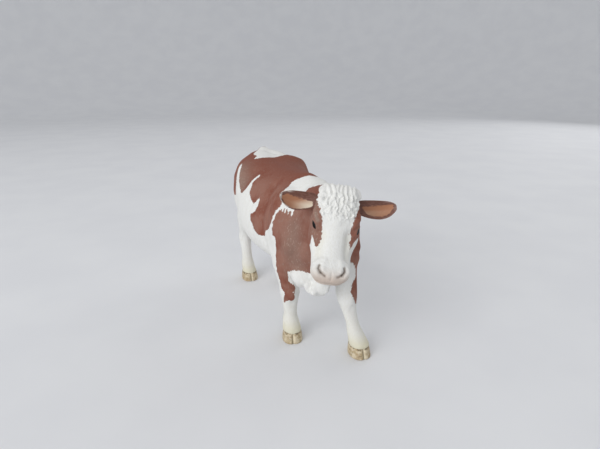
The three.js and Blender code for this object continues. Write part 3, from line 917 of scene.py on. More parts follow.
@dataclass(frozen=True)
class Body:
    """Torso, neck and dewlap, as lofts of upright sections with muscles laid on them."""

    torso: Rows = (
        (-45, 0, 66, 43, 6.5, 55, 1),
        (-43, 0, 71, 38.5, 11.5, 55, 1.1),
        (-38, 0, 75.6, 35, 15.2, 55, 1.2),
        (-28, 0, 79, 33.4, 17.4, 54, 1.3),
        (-13.75, 0, 78.4, 32.2, 20, 53, 1.2),
        (2.2, 0, 77.4, 31.6, 22.4, 52, 1.08),
        (15.9, 0, 77.6, 32.6, 22.6, 53, 0.86),
        (29, 0, 79.4, 36.6, 20.6, 57, 0.7),
        (40, 0, 80.6, 41.5, 18.4, 60, 0.86),
        (49, 0, 79.2, 46, 14.5, 61, 0.95),
        (54, 0, 75, 53, 8.5, 63, 1),
        (55.5, 0, 70, 58, 4, 64, 1),
    )
    neck: Rows = (
        (-36, 0, 75, 41, 12, 58, 1),
        (-41, 0, 77.5, 38.5, 12.6, 57, 1),
        (-46, -0.3, 78.6, 40, 11.6, 58, 1),
        (-52, -0.9, 79.4, 49, 9.8, 65, 1),
        (-57, -1.5, 79.2, 56, 8.2, 67, 1),
        (-61, -2, 77, 60, 5.6, 68, 1),
    )
    dewlap: Rows = (
        (-31, -1, 42, 35.4, 6, 39, 1),
        (-37, -2.4, 45, 32.4, 8.4, 38, 1),
        (-42, -2, 50, 30, 7.6, 37, 1),
        (-47, -1.2, 54, 28.6, 4.6, 37, 1),
        (-51, -0.9, 60, 32, 3.4, 42, 1),
        (-55, -1, 64, 43, 2.8, 52, 1),
        (-59, -1.4, 64, 54, 2.2, 58, 1),
    )
    # Shoulders, thighs and brisket: centre, half sizes and lean backwards
    muscles: Rows = (
        (-8.6, -28.5, 56, 9.8, 12, 18, 0.2),
        (9.6, -37.5, 52, 10.2, 11, 17.5, 0.3),
        (-9.6, 41.5, 56, 9.6, 12.5, 17.5, -0.15),
        (9.6, 39.5, 56, 9.6, 12.5, 17.5, -0.1),
        (-8, -39.5, 36.8, 4.4, 5, 5, 0),
        (-2.4, -45, 32.6, 4.8, 4.4, 4.4, 0),
    )
    belly_squareness: float = 0.88
    sides: int = 48
    voxel: float = 0.45
    # Curls on the brisket: their seed and number, and where they start along the body, up it and to each side
    seed: int = 7
    curls: int = 90
    curls_y: Place = (-52, -32)
    curls_z: Place = (30.5, 42)
    curls_x: Place = (0, 8.5)
    # Middle of the brisket, and a curl's length, sway, half width and rise or depth
    curl_middle: float = -1.5
    curl_drop: Place = (2.0, 3.6)
    curl_sway: Place = (-1.2, 1.2)
    curl_radius: float = 1.05
    curl_rises: Place = (0.75, -0.65)
    # Places of the ribs' grooves along the body
    ribs: tuple[float, ...] = (-9, -3.5, 2, 7.5)
    # Strokes of spine, hips and tail head, of the shoulders, of the hindquarters and of the neck's folds
    bones: tuple[Stroke, ...] = (
        Stroke(((0, -24, 79), (0, 6, 78), (0, 30, 80)), 2.4, -0.45, False),
        Stroke(((0, -34, 78), (0, -26, 79.5)), 5.0, 0.4, False),
        Stroke(((6, -34, 76.2), (7, -38, 75.4), (7, -43, 75.2)), 3.4, 1.6, False),
        Stroke(((18, 21, 72), (17.5, 26, 73)), 4.2, 1.2, False),
        Stroke(((12, 25, 77), (15.5, 26, 75.6)), 4.0, 1.2, False),
        Stroke(((-18, 23, 73), (-17.5, 27, 73.5)), 4.4, 1.5, False),
        Stroke(((6.8, 51.5, 74),), 3.2, 1.5),
        Stroke(((-1, 44.5, 81), (1, 45.5, 81)), 2.6, 1.5, False),
        Stroke(((0, 48, 80), (0, 53.5, 76.5)), 2.6, 0.9, False),
        Stroke(((2, 36.5, 80.4), (4.5, 33, 79.8)), 3.0, -1.4, False),
        Stroke(((16.6, 44, 67), (15.9, 40.5, 72), (12.8, 42, 74.6)), 4.0, 1.0),
        Stroke(((4.6, 46.5, 80),), 2.4, -0.8),
        Stroke(((17, 17, 70), (19, 16, 66)), 4.6, -1.5),
        Stroke(((13, 35, 77), (11, 46, 76)), 3.4, -0.7),
    )
    shoulders: tuple[Stroke, ...] = (
        Stroke(((13, -14, 72), (18.5, -15, 62), (19, -17, 50), (16, -20, 40)), 3.2, -1.1),
        Stroke(((9, -25, 77), (13.5, -27, 68), (16, -30, 58)), 3.2, 0.7),
        Stroke(((-13, -33, 70), (-15.5, -36, 60)), 2.4, -0.5, False),
        Stroke(((-15.5, -38.5, 50),), 4.0, 0.6, False),
        Stroke(((-16.5, -22, 42),), 3.4, 0.9, False),
        Stroke(((17, -30, 40),), 3.4, 0.9, False),
        Stroke(((17.6, -43, 47), (17.8, -42.2, 42.5)), 3.2, 1.6, False),
    )
    quarters: tuple[Stroke, ...] = (
        Stroke(((20, 21, 56), (18.5, 25, 46), (14, 27, 39)), 2.6, -1.2),
        Stroke(((17.5, 31, 47),), 4.4, 0.9),
        Stroke(((17, 47, 68), (16.5, 48, 56), (14.5, 49, 48)), 1.8, -0.6),
        Stroke(((12, 53, 66), (11, 53, 54)), 2.6, 0.5),
        Stroke(((0, 55, 70), (0, 54, 58), (0, 50, 48)), 2.0, -1.2, False),
    )
    neck_folds: tuple[Stroke, ...] = (
        Stroke(((-9.5, -57, 64), (-11.5, -48, 54), (-12, -40, 46)), 2.0, -0.7, False),
        Stroke(((8, -57, 64), (11, -48, 54), (12, -42, 47)), 2.0, -0.7, False),
        Stroke(((8.5, -52, 71), (10.5, -46, 63)), 1.0, -0.3),
        Stroke(((9.5, -49, 72), (11.5, -43, 64)), 1.0, -0.25),
        Stroke(((3.4, -53, 46), (4.6, -48, 38)), 1.0, -0.4),
    )

    def rings(self, rows: Rows) -> list[Array]:
        """Sections of one loft.

        Args:
            rows: Its stations: y, x, top, bottom, half width, height of the widest place, roof.

        Returns:
            The rings of points.
        """
        rings = []
        for y, x, top, bottom, half, widest, roof in refine(rows, 4):
            c, s = soft_circle(self.sides, roof, self.belly_squareness)
            reach = np.where(s > 0, top - widest, widest - bottom)
            rings.append(ring_of(x + c * half, y, widest + s * reach))
        return rings

    def lay(self, mould: Mould) -> None:
        """Lays the body into a mould.

        Args:
            mould: The mould.
        """
        for rows in (self.torso, self.neck, self.dewlap):
            mould.loft(self.rings(rows))
        for x, y, z, across, along, rise, lean in self.muscles:
            size = Matrix.Diagonal((across, along, rise, 1.0))
            mould.lump(Matrix.Translation((x, y, z)) @ Matrix.Rotation(lean, 4, "X") @ size)

    def strokes(self) -> list[Stroke]:
        """Bones, muscles and folds of the body.

        Returns:
            The strokes that carve them.
        """
        grooves = [
            Stroke(((18.5, y, 68), (21, y + 1.5, 56), (19.5, y + 3.5, 42)), 1.5, -0.28) for y in self.ribs
        ]
        return [*self.bones, *grooves, *self.shoulders, *self.quarters]

    def folds(self) -> list[Stroke]:
        """Finer folds of the neck and the curly brisket.

        Returns:
            The strokes that carve them.
        """
        draw = np.random.default_rng(self.seed)
        curls = []
        for _ in range(self.curls):
            y = draw.uniform(*self.curls_y)
            z = draw.uniform(*self.curls_z)
            x = draw.choice((-1, 1)) * draw.uniform(*self.curls_x) + self.curl_middle
            drop = draw.uniform(*self.curl_drop)
            sway = draw.uniform(*self.curl_sway)
            path = ((x, y, z), (x + sway, y + 0.3, z - 0.5 * drop), (x - 0.3 * sway, y, z - drop))
            curls.append(Stroke(path, self.curl_radius, draw.choice(self.curl_rises), False))
        return [*self.neck_folds, *curls]


# Dewclaws, fetlocks and tendons of every leg: places as shares of the half width outwards and the half length
# backwards, with the height over the coronet
LEG_STROKES = (
    Stroke(((0.55, 0.9, 3.6),), 0.8, 0.95),
    Stroke(((0.95, 0, 3.4), (0.95, 0.1, 5.0)), 1.4, 0.18),
    Stroke(((1, 0.35, 7), (1, 0.3, 14.5)), 0.8, -0.5),
    Stroke(((0, 1, 1.6), (0, 1, 2.6)), 0.8, -0.3, False),
)
# Hock of a hind leg and knee of a foreleg, in the same way
HOCK_STROKES = (
    Stroke(((0, 1, 22.5), (0, 1, 25)), 1.5, 1.5, False),
    Stroke(((0, -1, 20), (0, -1, 23)), 1.8, 0.3, False),
    Stroke(((1, 0.45, 25), (1, 0.5, 33)), 1.4, -1.0),
    Stroke(((1, -0.1, 20.5),), 1.5, 0.35),
)
KNEE_STROKES = (
    Stroke(((0, -1, 17.5), (0, -1, 20.5)), 1.9, 0.8, False),
    Stroke(((0, 1, 18.5), (0, 1, 20)), 1.1, 0.6, False),
    Stroke(((0, -1, 14.5), (0, -1, 15.5)), 1.2, -0.3, False),
    Stroke(((1, 0.2, 22.5), (1, 0.3, 29)), 1.2, -0.4),
)


@dataclass(frozen=True)
class Limb:
    """One leg, as a loft of level sections over its hoof."""

    name: str
    hoof: str
    side: Side
    x: float
    y: float
    shape: Rows
    out: tuple[float, ...]
    back: tuple[float, ...]
    # A point of the parting plane, outwards of the middle, and its rise outwards and backwards
    cut_at: Point
    cut_rise: Place
    hind: bool
    # Turn of the hoof outwards in degrees
    toe_out: float = 0.0
    coronet: float = 5.4
    # How far the leg goes into its hoof, and how much thinner it is there
    sunk: float = 1.0
    thinner: float = 0.25
    # How far round the leg its own room reaches
    room: float = 4.0
    squareness: float = 0.94
    sides: int = 32

    def stations(self) -> Array:
        """Fine sections of the leg.

        Returns:
            Their heights, centres and half sizes, a row each.
        """
        rows = tuple(
            (self.coronet + up, self.side.value * (self.x + out), self.y + back, across, along)
            for (up, across, along), out, back in zip(self.shape, self.out, self.back)
        )
        return refine(rows, 4)

    def rings(self) -> list[Array]:
        """Sections of the leg, which starts a little inside its hoof.

        Returns:
            The rings of points.
        """
        c, s = soft_circle(self.sides, self.squareness)
        table = self.stations()
        foot = table[0] - (self.sunk, 0, 0, self.thinner, self.thinner)
        return [ring_of(x + c * across, y + s * along, z) for z, x, y, across, along in [foot, *table]]

    def at(self, across: float, along: float, up: float) -> Point:
        """Point by shares of the half width outwards and the half length backwards, at a height."""
        x, y, wide, long = self.section(self.coronet + up)
        return (x + self.side.value * across * wide, y + along * long, self.coronet + up)

    def section(self, heights: Array | float) -> tuple[Array, ...]:
        """Centre, half width and half length of the leg at some heights."""
        return columns(heights, self.stations(), 1, 2, 3, 4)

    def strokes(self) -> list[Stroke]:
        """Joints, tendons and dewclaws.

        Returns:
            The strokes that carve them.
        """
        return [
            Stroke(tuple(self.at(*place) for place in path), stroke.radius, stroke.rise, False)
            for stroke in LEG_STROKES + (HOCK_STROKES if self.hind else KNEE_STROKES)
            for path in stroke.paths()
        ]

    def cut(self) -> Cut:
        """The oblique plane that parts the leg from the body.

        Returns:
            The cut.
        """
        sign = self.side.value
        x, y, z = self.cut_at
        outwards, backwards = self.cut_rise
        return Cut(self.name, (sign * x, y, z), (sign * outwards, backwards, -1.0), self.around)

    def around(self, points: Array) -> Array:
        """Which points are in the leg or close round it."""
        x, y, wide, long = self.section(points[:, 2])
        return np.hypot((points[:, 0] - x) / (wide + self.room), (points[:, 1] - y) / (long + self.room)) < 1


FORELEG: Rows = (
    (0, 4.35, 5.0), (2, 4.0, 4.5), (4.6, 3.5, 4.2), (7.6, 3.15, 3.6), (12, 3.55, 3.6), (16, 4.15, 4.0),
    (19, 4.65, 4.5), (22.6, 4.6, 4.8), (27.6, 4.95, 5.9), (32.6, 5.4, 7.2), (38.6, 5.4, 7.6),
    (44.6, 4.6, 6.4),
)  # fmt: skip
REACHING_FORELEG: Rows = (
    (0, 4.5, 5.0), (2, 4.0, 4.5), (4.6, 3.4, 4.2), (7.6, 3.0, 3.4), (12, 3.3, 3.4), (16, 4.1, 3.9),
    (19, 4.7, 4.5), (22.6, 5.0, 4.9), (27.6, 5.2, 5.8), (32.6, 5.4, 7), (38.6, 5.4, 7.4), (44.6, 4.6, 6.4),
)  # fmt: skip
HINDLEG: Rows = (
    (0, 4.2, 4.9), (2, 3.8, 4.4), (4.6, 3.6, 4.3), (7.6, 3.2, 3.6), (12.6, 3.1, 3.6), (17.6, 3.4, 4.3),
    (21.6, 3.7, 5.1), (25.6, 3.9, 5.9), (30, 4.7, 7.7), (35.6, 5.7, 9.8), (41.6, 5.8, 10.4), (47.6, 5, 9),
)  # fmt: skip

LIMBS = (
    Limb(
        "foreleg_right", "fore_hoof_right", Side.RIGHT, 8.9, -30.7, FORELEG,
        (0, 0, 0.1, 0.2, 0.4, 0.6, 0.8, 1.3, 2.2, 2.8, 2.9, 2.5),
        (0.6, 1.3, 2.2, 2.4, 2.1, 1.5, 1.0, 1.3, 1.8, 2.2, 2.2, 1.2),
        (5, -29, 31.5), (0.5, 0.0), False, 13.0,
    ),
    Limb(
        "foreleg_left", "fore_hoof_left", Side.LEFT, 15.2, -53.2, REACHING_FORELEG,
        (0, -0.35, -0.8, -1.25, -1.8, -2.0, -2.0, -1.9, -1.8, -1.8, -2.1, -2.6),
        (0.6, 1.7, 3.4, 5.0, 7.4, 9.2, 10.2, 11.4, 13, 14.4, 15.6, 16.2),
        (8, -40, 33.5), (0.7, 0.0), False,
    ),
    Limb(
        "hindleg_right", "hind_hoof_right", Side.RIGHT, 10.8, 45, HINDLEG,
        (0, 0.3, 0.5, 0.6, 0.8, 0.9, 0.9, 1.0, 1.1, 1.0, 0.4, -0.2),
        (0.6, 1.2, 2.2, 2.8, 3.6, 4.6, 5, 3, 0, -3, -5, -5.5),
        (10, 33, 37), (0.0, 0.6), True,
    ),
    Limb(
        "hindleg_left", "hind_hoof_left", Side.LEFT, 11.6, 32.5, HINDLEG,
        (0, 0, 0, 0, 0, 0.1, 0.2, 0.4, 0.6, 0.6, 0, -0.6),
        (0.6, 1.4, 2.8, 4, 5.8, 8, 9.4, 8.6, 7, 6, 6, 6.4),
        (10, 30, 35.5), (0.0, 0.6), True,
    ),
)  # fmt: skip


@dataclass(frozen=True)
class CurlZone:
    """Rows of wavy locks between two heights of the forelock."""

    top: float
    bottom: float
    # Between neighbours in a row
    gap: float
    length: float
    sway: float
    radius: float
    rise: float
    # How far a lock's wave differs from its neighbours', from 0 to 1
    tangle: float
    # Step from row to row as a share of the length
    step: float = 0.62
    # Shift of a lock to either side, start and length of its wave, and its lean as a share of the sway
    jitter: float = 0.3
    phase: float = 0.9
    wave: float = 4.6
    lean: float = 0.5
    # Ranges of sway, length and rise as shares
    sways: Place = (0.6, 1.2)
    lengths: Place = (0.7, 1.25)
    rises: Place = (0.75, 1.15)
    # Depth in the flattened face at which its surface is looked for, and corners of a lock
    aim: float = -1.2
    corners: int = 8

    def lock(self, tree: KDTree, spots: Array, draw: np.random.Generator, start: Place) -> Stroke:
        """One wavy lock.

        Args:
            tree: Search tree of the flattened face.
            spots: Places of the face.
            draw: Source of its irregularity.
            start: Where it starts, across and up.

        Returns:
            The stroke that raises it.
        """
        x, z = start
        x += draw.uniform(-self.jitter, self.jitter)
        phase = self.phase + self.tangle * draw.uniform(0, 2 * math.pi)
        swing = self.sway * draw.uniform(*self.sways)
        stretch = self.length * draw.uniform(*self.lengths)
        path = []
        for share in np.linspace(0, 1, self.corners):
            px = x + swing * math.sin(phase + self.wave * share) + self.lean * swing * share
            _, index, _ = tree.find((px, self.aim, z - stretch * share))
            path.append(tuple(spots[index]))
        return Stroke(tuple(path), self.radius, self.rise * draw.uniform(*self.rises), False)


# Left half of the mouth's line, in the head's frame
MOUTH: Path = ((7, 1.6, -22.6), (6.2, -1.6, -26), (4, -4.6, -28), (0, -5.4, -28.6))


@dataclass(frozen=True)
class Head:
    """Head in its own frame, which hangs down and faces -Y before it is turned."""

    at: Point = (-2.5, -62.6, 72.1)
    pitch: float = -27.0
    roll: float = 9.8
    yaw: float = -14.0
    # Height, front, back, half width and narrowing towards the jaw
    skull: Rows = (
        (-28.6, -5.0, -0.6, 2.8, 0),
        (-27.6, -7.0, 1.6, 5.0, 0.05),
        (-25, -8.4, 3.4, 7, 0.1),
        (-21.5, -7.4, 4.6, 7.0, 0.06),
        (-17, -6.7, 6.6, 7.5, 0),
        (-12, -7, 9.4, 8.2, 0.04),
        (-6, -7.8, 10.6, 8.6, 0.16),
        (-1, -8.4, 9.8, 8.1, 0.2),
        (3.5, -8.4, 7, 7.2, 0.1),
        (6, -7.4, 4, 6.2, 0),
        (7, -6, 1.5, 4.4, 0),
    )
    squareness: float = 0.8
    sides: int = 48
    # The forelock's mass, in the same numbers
    forelock: Rows = (
        (-7.5, -8.0, -5, 1.2, 0),
        (-5, -8.6, -4, 4.0, 0),
        (-2, -9.1, -3, 6.3, 0),
        (1.5, -9.3, -2, 7.5, 0),
        (4.5, -9.2, -1.5, 7.4, 0),
        (6.3, -8.6, -1, 7.0, 0),
        (7.3, -7.4, -0.6, 5.8, 0),
    )
    # Angle of the eye from the face in degrees, its height, and the radius of the head there
    eye: Point = (52.5, -8.05, 10.1)
    # Long axis of the eye, forwards and down, with half its length and half its width
    eye_axis: Place = (-0.376, -0.927)
    eye_half: Place = (1.75, 0.8)
    # How much further back the left eye is, in degrees
    left_eye_back: float = 5.0
    # Half width and rise of the strokes for eyeball and lids, and the gap between lid and eye
    ball: Place = (1.2, 0.4)
    lid: Place = (0.42, 0.35)
    lid_gap: float = 0.3
    # Place of the plane between head and neck, behind the head's middle
    parting: float = 6.5
    curl_zones: tuple[CurlZone, ...] = (
        CurlZone(8.4, 6.0, 1.6, 6.0, 0.5, 0.52, 0.8, 0.8),
        CurlZone(3.2, -2.2, 1.2, 3.0, 0.55, 0.36, 0.44, 1.0),
        CurlZone(-2.2, -4.6, 1.05, 2.0, 0.4, 0.34, 0.3, 1.0),
    )
    # Half width of the curls, the height of their lowest point and the height over which they widen from it
    curl_reach: float = 7.6
    curl_tip: float = -6.5
    curl_spread: float = 5.5
    # They are laid on the face in front of this place and above this height, flattened to this share
    curl_back: float = 1.5
    curl_floor: float = -10.0
    flattening: float = 0.2
    seed: int = 11
    # Strokes near the head's surface, in its frame
    face_strokes: tuple[Stroke, ...] = (
        Stroke(((5.0, -6.2, -10.5), (5.2, -5.8, -14.5), (5.6, -5.4, -18.6)), 1.9, -1.1),
        Stroke(((7.2, -4.2, -12.5), (7.0, -4.2, -17)), 1.8, -0.5),
        Stroke(((8.5, -5.4, -2.4), (8, -6, -4.6), (6.9, -6.4, -6.8)), 1.2, 0.9),
        Stroke(((0, -8, -8), (0, -7.4, -20)), 2.2, 0.25, False),
        Stroke(((6.2, -7.4, -4.4), (8, -5, -4.2), (8.8, -2.4, -5.2)), 1.3, 0.45),
        Stroke(((7.8, -4.2, -12), (7, -5, -17)), 1.2, 0.35),
        Stroke(((8, 3, -10),), 4.0, 0.6),
        Stroke(((8.2, -1, -11),), 3.6, 0.9, False),
        Stroke(((7, 1.5, -18.5), (7, 5, -15.5)), 1.6, -0.4),
    )
    muzzle_strokes: tuple[Stroke, ...] = (
        Stroke(((3.6, -8.4, -21.2), (5.6, -6.6, -22.2)), 1.2, 0.45),
        Stroke(((5.8, -5.6, -23.6), (4.8, -6.8, -25.8)), 1.0, 0.45),
        Stroke(((4.5, -7, -22.5), (4.75, -7.1, -23.5), (3.9, -7.6, -24.9)), 0.54, -1.2),
        Stroke(((3.9, -7.6, -24.9), (2.3, -8.3, -26)), 0.5, -0.6),
        Stroke(((3.2, -8.3, -23.4),), 0.9, 0.45),
        Stroke(((6.4, -5, -22), (5.6, -5.8, -20.7), (4.2, -6.4, -20), (2.8, -7, -20.2)), 0.8, 0.4),
        Stroke(((0, -8.6, -25), (0, -7.6, -27.4)), 0.45, -0.25, False),
        Stroke(MOUTH, 0.5, -0.6),
    )

    def frame(self) -> Matrix:
        """Works out where the head is.

        Returns:
            The matrix from the head's frame to the figure's.
        """
        yaw, pitch, roll = (math.radians(angle) for angle in (self.yaw, self.pitch, self.roll))
        turn = Matrix.Rotation(yaw, 4, "Z") @ Matrix.Rotation(pitch, 4, "X") @ Matrix.Rotation(roll, 4, "Y")
        return Matrix.Translation(self.at) @ turn

    def local(self, points: Array) -> Array:
        """Points of the figure in the head's frame."""
        return moved(points, self.frame().inverted())

    def lay(self, mould: Mould) -> None:
        """Lays the skull and the forelock into a mould.

        Args:
            mould: The mould.
        """
        c, s = soft_circle(self.sides, self.squareness)
        frame = self.frame()
        for rows in (self.skull, self.forelock):
            rings = []
            for z, front, back, half, narrowing in refine(rows, 4):
                depth, middle = (back - front) / 2, (back + front) / 2
                ring = ring_of(c * half * (1 - narrowing * s), middle + s * depth, z)
                rings.append(moved(ring, frame))
            mould.loft(rings)

    def depth(self, points: Array) -> Array:
        """Rough depth of points of the figure inside the skull, in millimetres.

        Args:
            points: Places in the figure.

        Returns:
            One depth for each, negative outside.
        """
        x, y, z = self.local(points).T
        table = refine(self.skull, 4)
        front, back, half = columns(z, table, 1, 2, 3)
        reach = np.hypot(x / half, (y - (front + back) / 2) / ((back - front) / 2))
        beyond = np.maximum(table[0, 0] - z, z - table[-1, 0])
        return np.minimum(half * (1.05 - reach), -beyond)

    def cut(self) -> Cut:
        """The plane behind the cheeks that parts the head from the neck.

        Returns:
            The cut.
        """
        frame = self.frame()
        point = frame @ Vector((0, self.parting, 0))
        towards = frame.to_3x3() @ Vector((0, -1, 0))
        return Cut("head", tuple(point), tuple(towards), lambda points: points[:, 1] < -44)

    def strokes(self) -> list[Stroke]:
        """Strokes for brows, cheeks, eyes, nose and mouth."""
        return [*self.face_strokes, *self.lids(), *self.muzzle_strokes]

    def lids(self) -> list[Stroke]:
        """The eyeball and the two lids that close round it.

        Returns:
            The strokes that raise them.
        """
        angle, height, radius = self.eye
        au, az = self.eye_axis
        length, width = self.eye_half

        def place(side: Side, along: float, across: float) -> Point:
            """Finds a place on the head.

            Args:
                side: Side of the eye.
                along: Distance from its middle along it.
                across: Distance across it.

            Returns:
                The place in the head's frame.
            """
            back = self.left_eye_back if side is Side.LEFT else 0.0
            turn = math.radians(angle + back) + (along * au + across * az) / radius
            x = side.value * radius * math.sin(turn)
            return (x, 1 - radius * math.cos(turn), height + along * az - across * au)

        steps = np.linspace(-1.15, 1.15, 9)
        made = []
        for side in Side:
            ball = (place(side, -0.4 * length, 0), place(side, 0.4 * length, 0))
            made.append(Stroke(ball, *self.ball, False))
            for lid in (-1, 1):
                opening = [lid * (self.lid_gap + width * max(0.0, 1 - t * t)) for t in steps]
                arc = tuple(place(side, t * length, across) for t, across in zip(steps, opening))
                made.append(Stroke(arc, *self.lid, False))
        return made

    def laid(self, skin: Skin, strokes: Iterable[Stroke]) -> list[Stroke]:
        """Lays strokes onto the skin.

        Args:
            skin: The head.
            strokes: Strokes near the head's surface, in its frame.

        Returns:
            The same strokes with their corners on the surface.
        """
        tree = search_tree(self.local(skin.co))
        return [
            replace(stroke, path=tuple(tuple(tree.find(corner)[0]) for corner in stroke.path))
            for stroke in strokes
        ]

    def curls(self, skin: Skin) -> list[Stroke]:
        """Wavy locks of the forelock, laid on the face.

        Args:
            skin: The head, before the locks.

        Returns:
            The strokes that raise them, in the head's frame.
        """
        places = self.local(skin.co)
        spots = places[(places[:, 1] < self.curl_back) & (places[:, 2] > self.curl_floor)]
        x, y, z = spots.T
        tree = search_tree(ring_of(x, np.minimum(y, 0.0) * self.flattening, z))
        draw = np.random.default_rng(self.seed)
        made = []
        for zone in self.curl_zones:
            for row, z in enumerate(np.arange(zone.top, zone.bottom, -zone.step * zone.length)):
                reach = self.curl_reach * min(1.0, max(0.1, (z - self.curl_tip) / self.curl_spread))
                for x in np.arange(-reach, reach + 0.01, zone.gap) + 0.5 * zone.gap * (row % 2):
                    made.append(zone.lock(tree, spots, draw, (x, z)))
        return made


@dataclass(frozen=True)
class Brushing:
    """Paint brushed along a path."""

    share: float
    radius: float
    path: Path

    def on(self, points: Array) -> Array:
        """Share of the paint at points, which fades to about 0 at twice the radius."""
        return self.share * bell(path_distance(points, np.array(self.path, float)), self.radius)


@dataclass(frozen=True)
class CoatMap:
    """Where the coat is brown, and where paint is washed over it, in the frames of body, legs and head."""

    head: Head
    # Height of the barrel's axis, and rough radii of barrel, forelegs and head
    axis: float = 54.0
    girth: float = 22.0
    leg_girth: float = 4.6
    head_girth: float = 7.5
    # Height up to which the forelegs have their own outlines, and how far round their middles these reach
    leg_top: float = 46.0
    leg_room: float = 10.0
    # Where the rump's own outline takes over from the barrel's
    rump_start: Place = (45.5, 50.5)
    # Lower edge of the brown on the chest: distances in front of the middle, and heights
    chest_at: tuple[float, ...] = (33, 36, 39, 43, 46, 48, 52, 58)
    chest_edge: tuple[float, ...] = (36, 37.2, 38.9, 40.2, 39.6, 40, 44, 52)
    # That edge is left out on the right flank: how much it is lowered, from where outwards, and on which side
    chest_drop: float = 12.0
    flank: Place = (11.5, 13.5)
    flank_side: Place = (5, 0)
    # Painted sheen on the right hip, dusty brushing on the neck, and in the head's frame painted sheen on the
    # right brow, other brushwork and painted shade beside the nose
    # Painted sheen on the right hip
    hip_sheen: Brushing = Brushing(0.7, 7.0, ((-19, 20, 66), (-18, 24, 70)))
    throat: Brushing = Brushing(0.6, 6.5, ((-14, -44, 60), (-13, -42, 46), (-11, -42, 40)))
    # Painted sheen along the right brow ridge, where light catches
    brow_sheen: Brushing = Brushing(
        1.0, 1.0,
        ((-7.6, -3.8, 1.5), (-8.2, -5, -1.5), (-8, -6.7, -4.1), (-7.6, -6.7, -5.7), (-7, -6.8, -6.7)),
    )  # fmt: skip
    cheek: Brushing = Brushing(0.4, 4.0, ((-8, -4, -4), (-7.5, -4, -12)))
    # Painted shade in the hollows beside the nose
    nose_side_shade: Brushing = Brushing(0.24, 1.8, ((4.6, -5.8, -11.5), (5.2, -5.2, -14.5), (5.6, -4.9, -18)))
    nostril: Brushing = Brushing(
        0.8, 0.42, ((4.5, 0, -22.4), (4.75, 0, -23.5), (3.9, 0, -24.9), (2.3, 0, -26))
    )
    mouth: Brushing = Brushing(0.35, 0.5, MOUTH)
    # Washes low on the legs: strength, height where one starts and where it is full, and their common top
    washes: Rows = ((0.55, 11, 5.2), (0.22, 24, 9))
    wash_top: float = 30.0
    # Pink of the muzzle and the lips: strength, then the heights of its ramp, or its height and radius
    pink: Point = (0.62, -22.0, -27.0)
    lips: Point = (0.25, -27.6, 1.4)
    # Lowest and highest place of the muzzle, its half width, its back, and the place of the nostrils' front
    muzzle: Place = (-31, -18)
    muzzle_half: float = 9.0
    muzzle_back: float = 6.0
    nostril_front: float = -3.5
    # Where the head's outlines take over: depth in the skull, and places along it at the jaw and at the face
    skull_edge: Place = (-1.2, -0.2)
    jaw_back: Place = (9.5, 6.5)
    face_back: Place = (3.0, 1.5)
    # Outlines as places along the body and angles round it in degrees, with the right side negative
    saddle: Outline = (
        (-30.9, 0), (-28.6, -9), (-26.9, -14), (-26.2, -19), (-27.2, -24), (-30.2, -34), (-33.6, -44),
        (-33.6, -51), (-32.4, -56), (-31.9, -61), (-31.3, -68), (-30.6, -75), (-29.3, -81), (-22.1, -94),
        (-18.8, -105), (-14.4, -107), (-10.3, -104), (-7.4, -98), (-4.9, -90), (-4.3, -84), (-7.9, -78),
        (-9.3, -66), (-7.9, -58), (-4.7, -69), (1.2, -65), (4.1, -61), (5.8, -52), (7.1, -47), (5.9, -36),
        (7.3, -34.5), (8.3, -40), (9.2, -49), (10.1, -57), (13.7, -67), (15.2, -68), (17, -67.5), (21.5, -60),
        (23.2, -54), (23.8, -47), (25.2, -42), (28.4, -38.5), (30.8, -40), (31.6, -47), (31.6, -56),
        (30.4, -64), (34, -74), (39.6, -86), (44.5, -80), (49, -64), (51, -52), (54, -30), (56, 0), (54, 24),
        (51, 40), (46, 55), (41, 70), (36, 74), (32, 62), (27, 58), (21, 66), (15, 78), (13, 90), (7, 99),
        (0, 93), (-6, 84), (-14, 88), (-20, 82), (-24, 70), (-27, 58), (-29, 44), (-27, 30), (-27.5, 18),
        (-30.5, 8), (-31.2, 3),
    )  # fmt: skip
    tail_head: Outline = (
        (24.6, -10), (25.4, -18), (26.6, -24), (29, -19), (30.6, -18), (34.6, -19), (38, -15), (41.8, -10),
        (44.6, -4), (45, 3), (43.6, 9), (40, 15), (36, 19), (31, 22), (28.6, 19), (26.6, 13), (24.9, 5),
    )  # fmt: skip
    right_shoulder: Outline = (
        (-32, -144), (-31.5, -136), (-31.5, -128), (-31.4, -122), (-31.6, -111), (-32.9, -98), (-32.7, -92.5),
        (-30.9, -91.5), (-31.6, -85), (-31.9, -80), (-32.1, -73), (-32.6, -67), (-33.2, -61), (-34.1, -55),
        (-35, -50), (-35.8, -54), (-36.3, -48), (-37, -53), (-37.5, -46.5), (-38.2, -52), (-38.8, -45),
        (-40, -51), (-40.4, -42), (-41, -30), (-42.1, -17), (-41.8, -13), (-45.8, -10), (-49, -7), (-53, -6),
        (-57, -4), (-62, -1.5), (-80, 0), (-80, -140), (-46, -158), (-36, -150),
    )  # fmt: skip
    left_shoulder: Outline = (
        (-80, 2), (-62, 4), (-56, 9), (-50, 15), (-44, 24), (-41, 38), (-37, 52), (-34, 62), (-33, 75),
        (-30, 88), (-31, 105), (-34, 122), (-36, 142), (-44.6, 142), (-44.9, 137), (-45.1, 133.5),
        (-45.4, 130), (-47.5, 122), (-50, 110), (-56, 104), (-80, 100),
    )  # fmt: skip
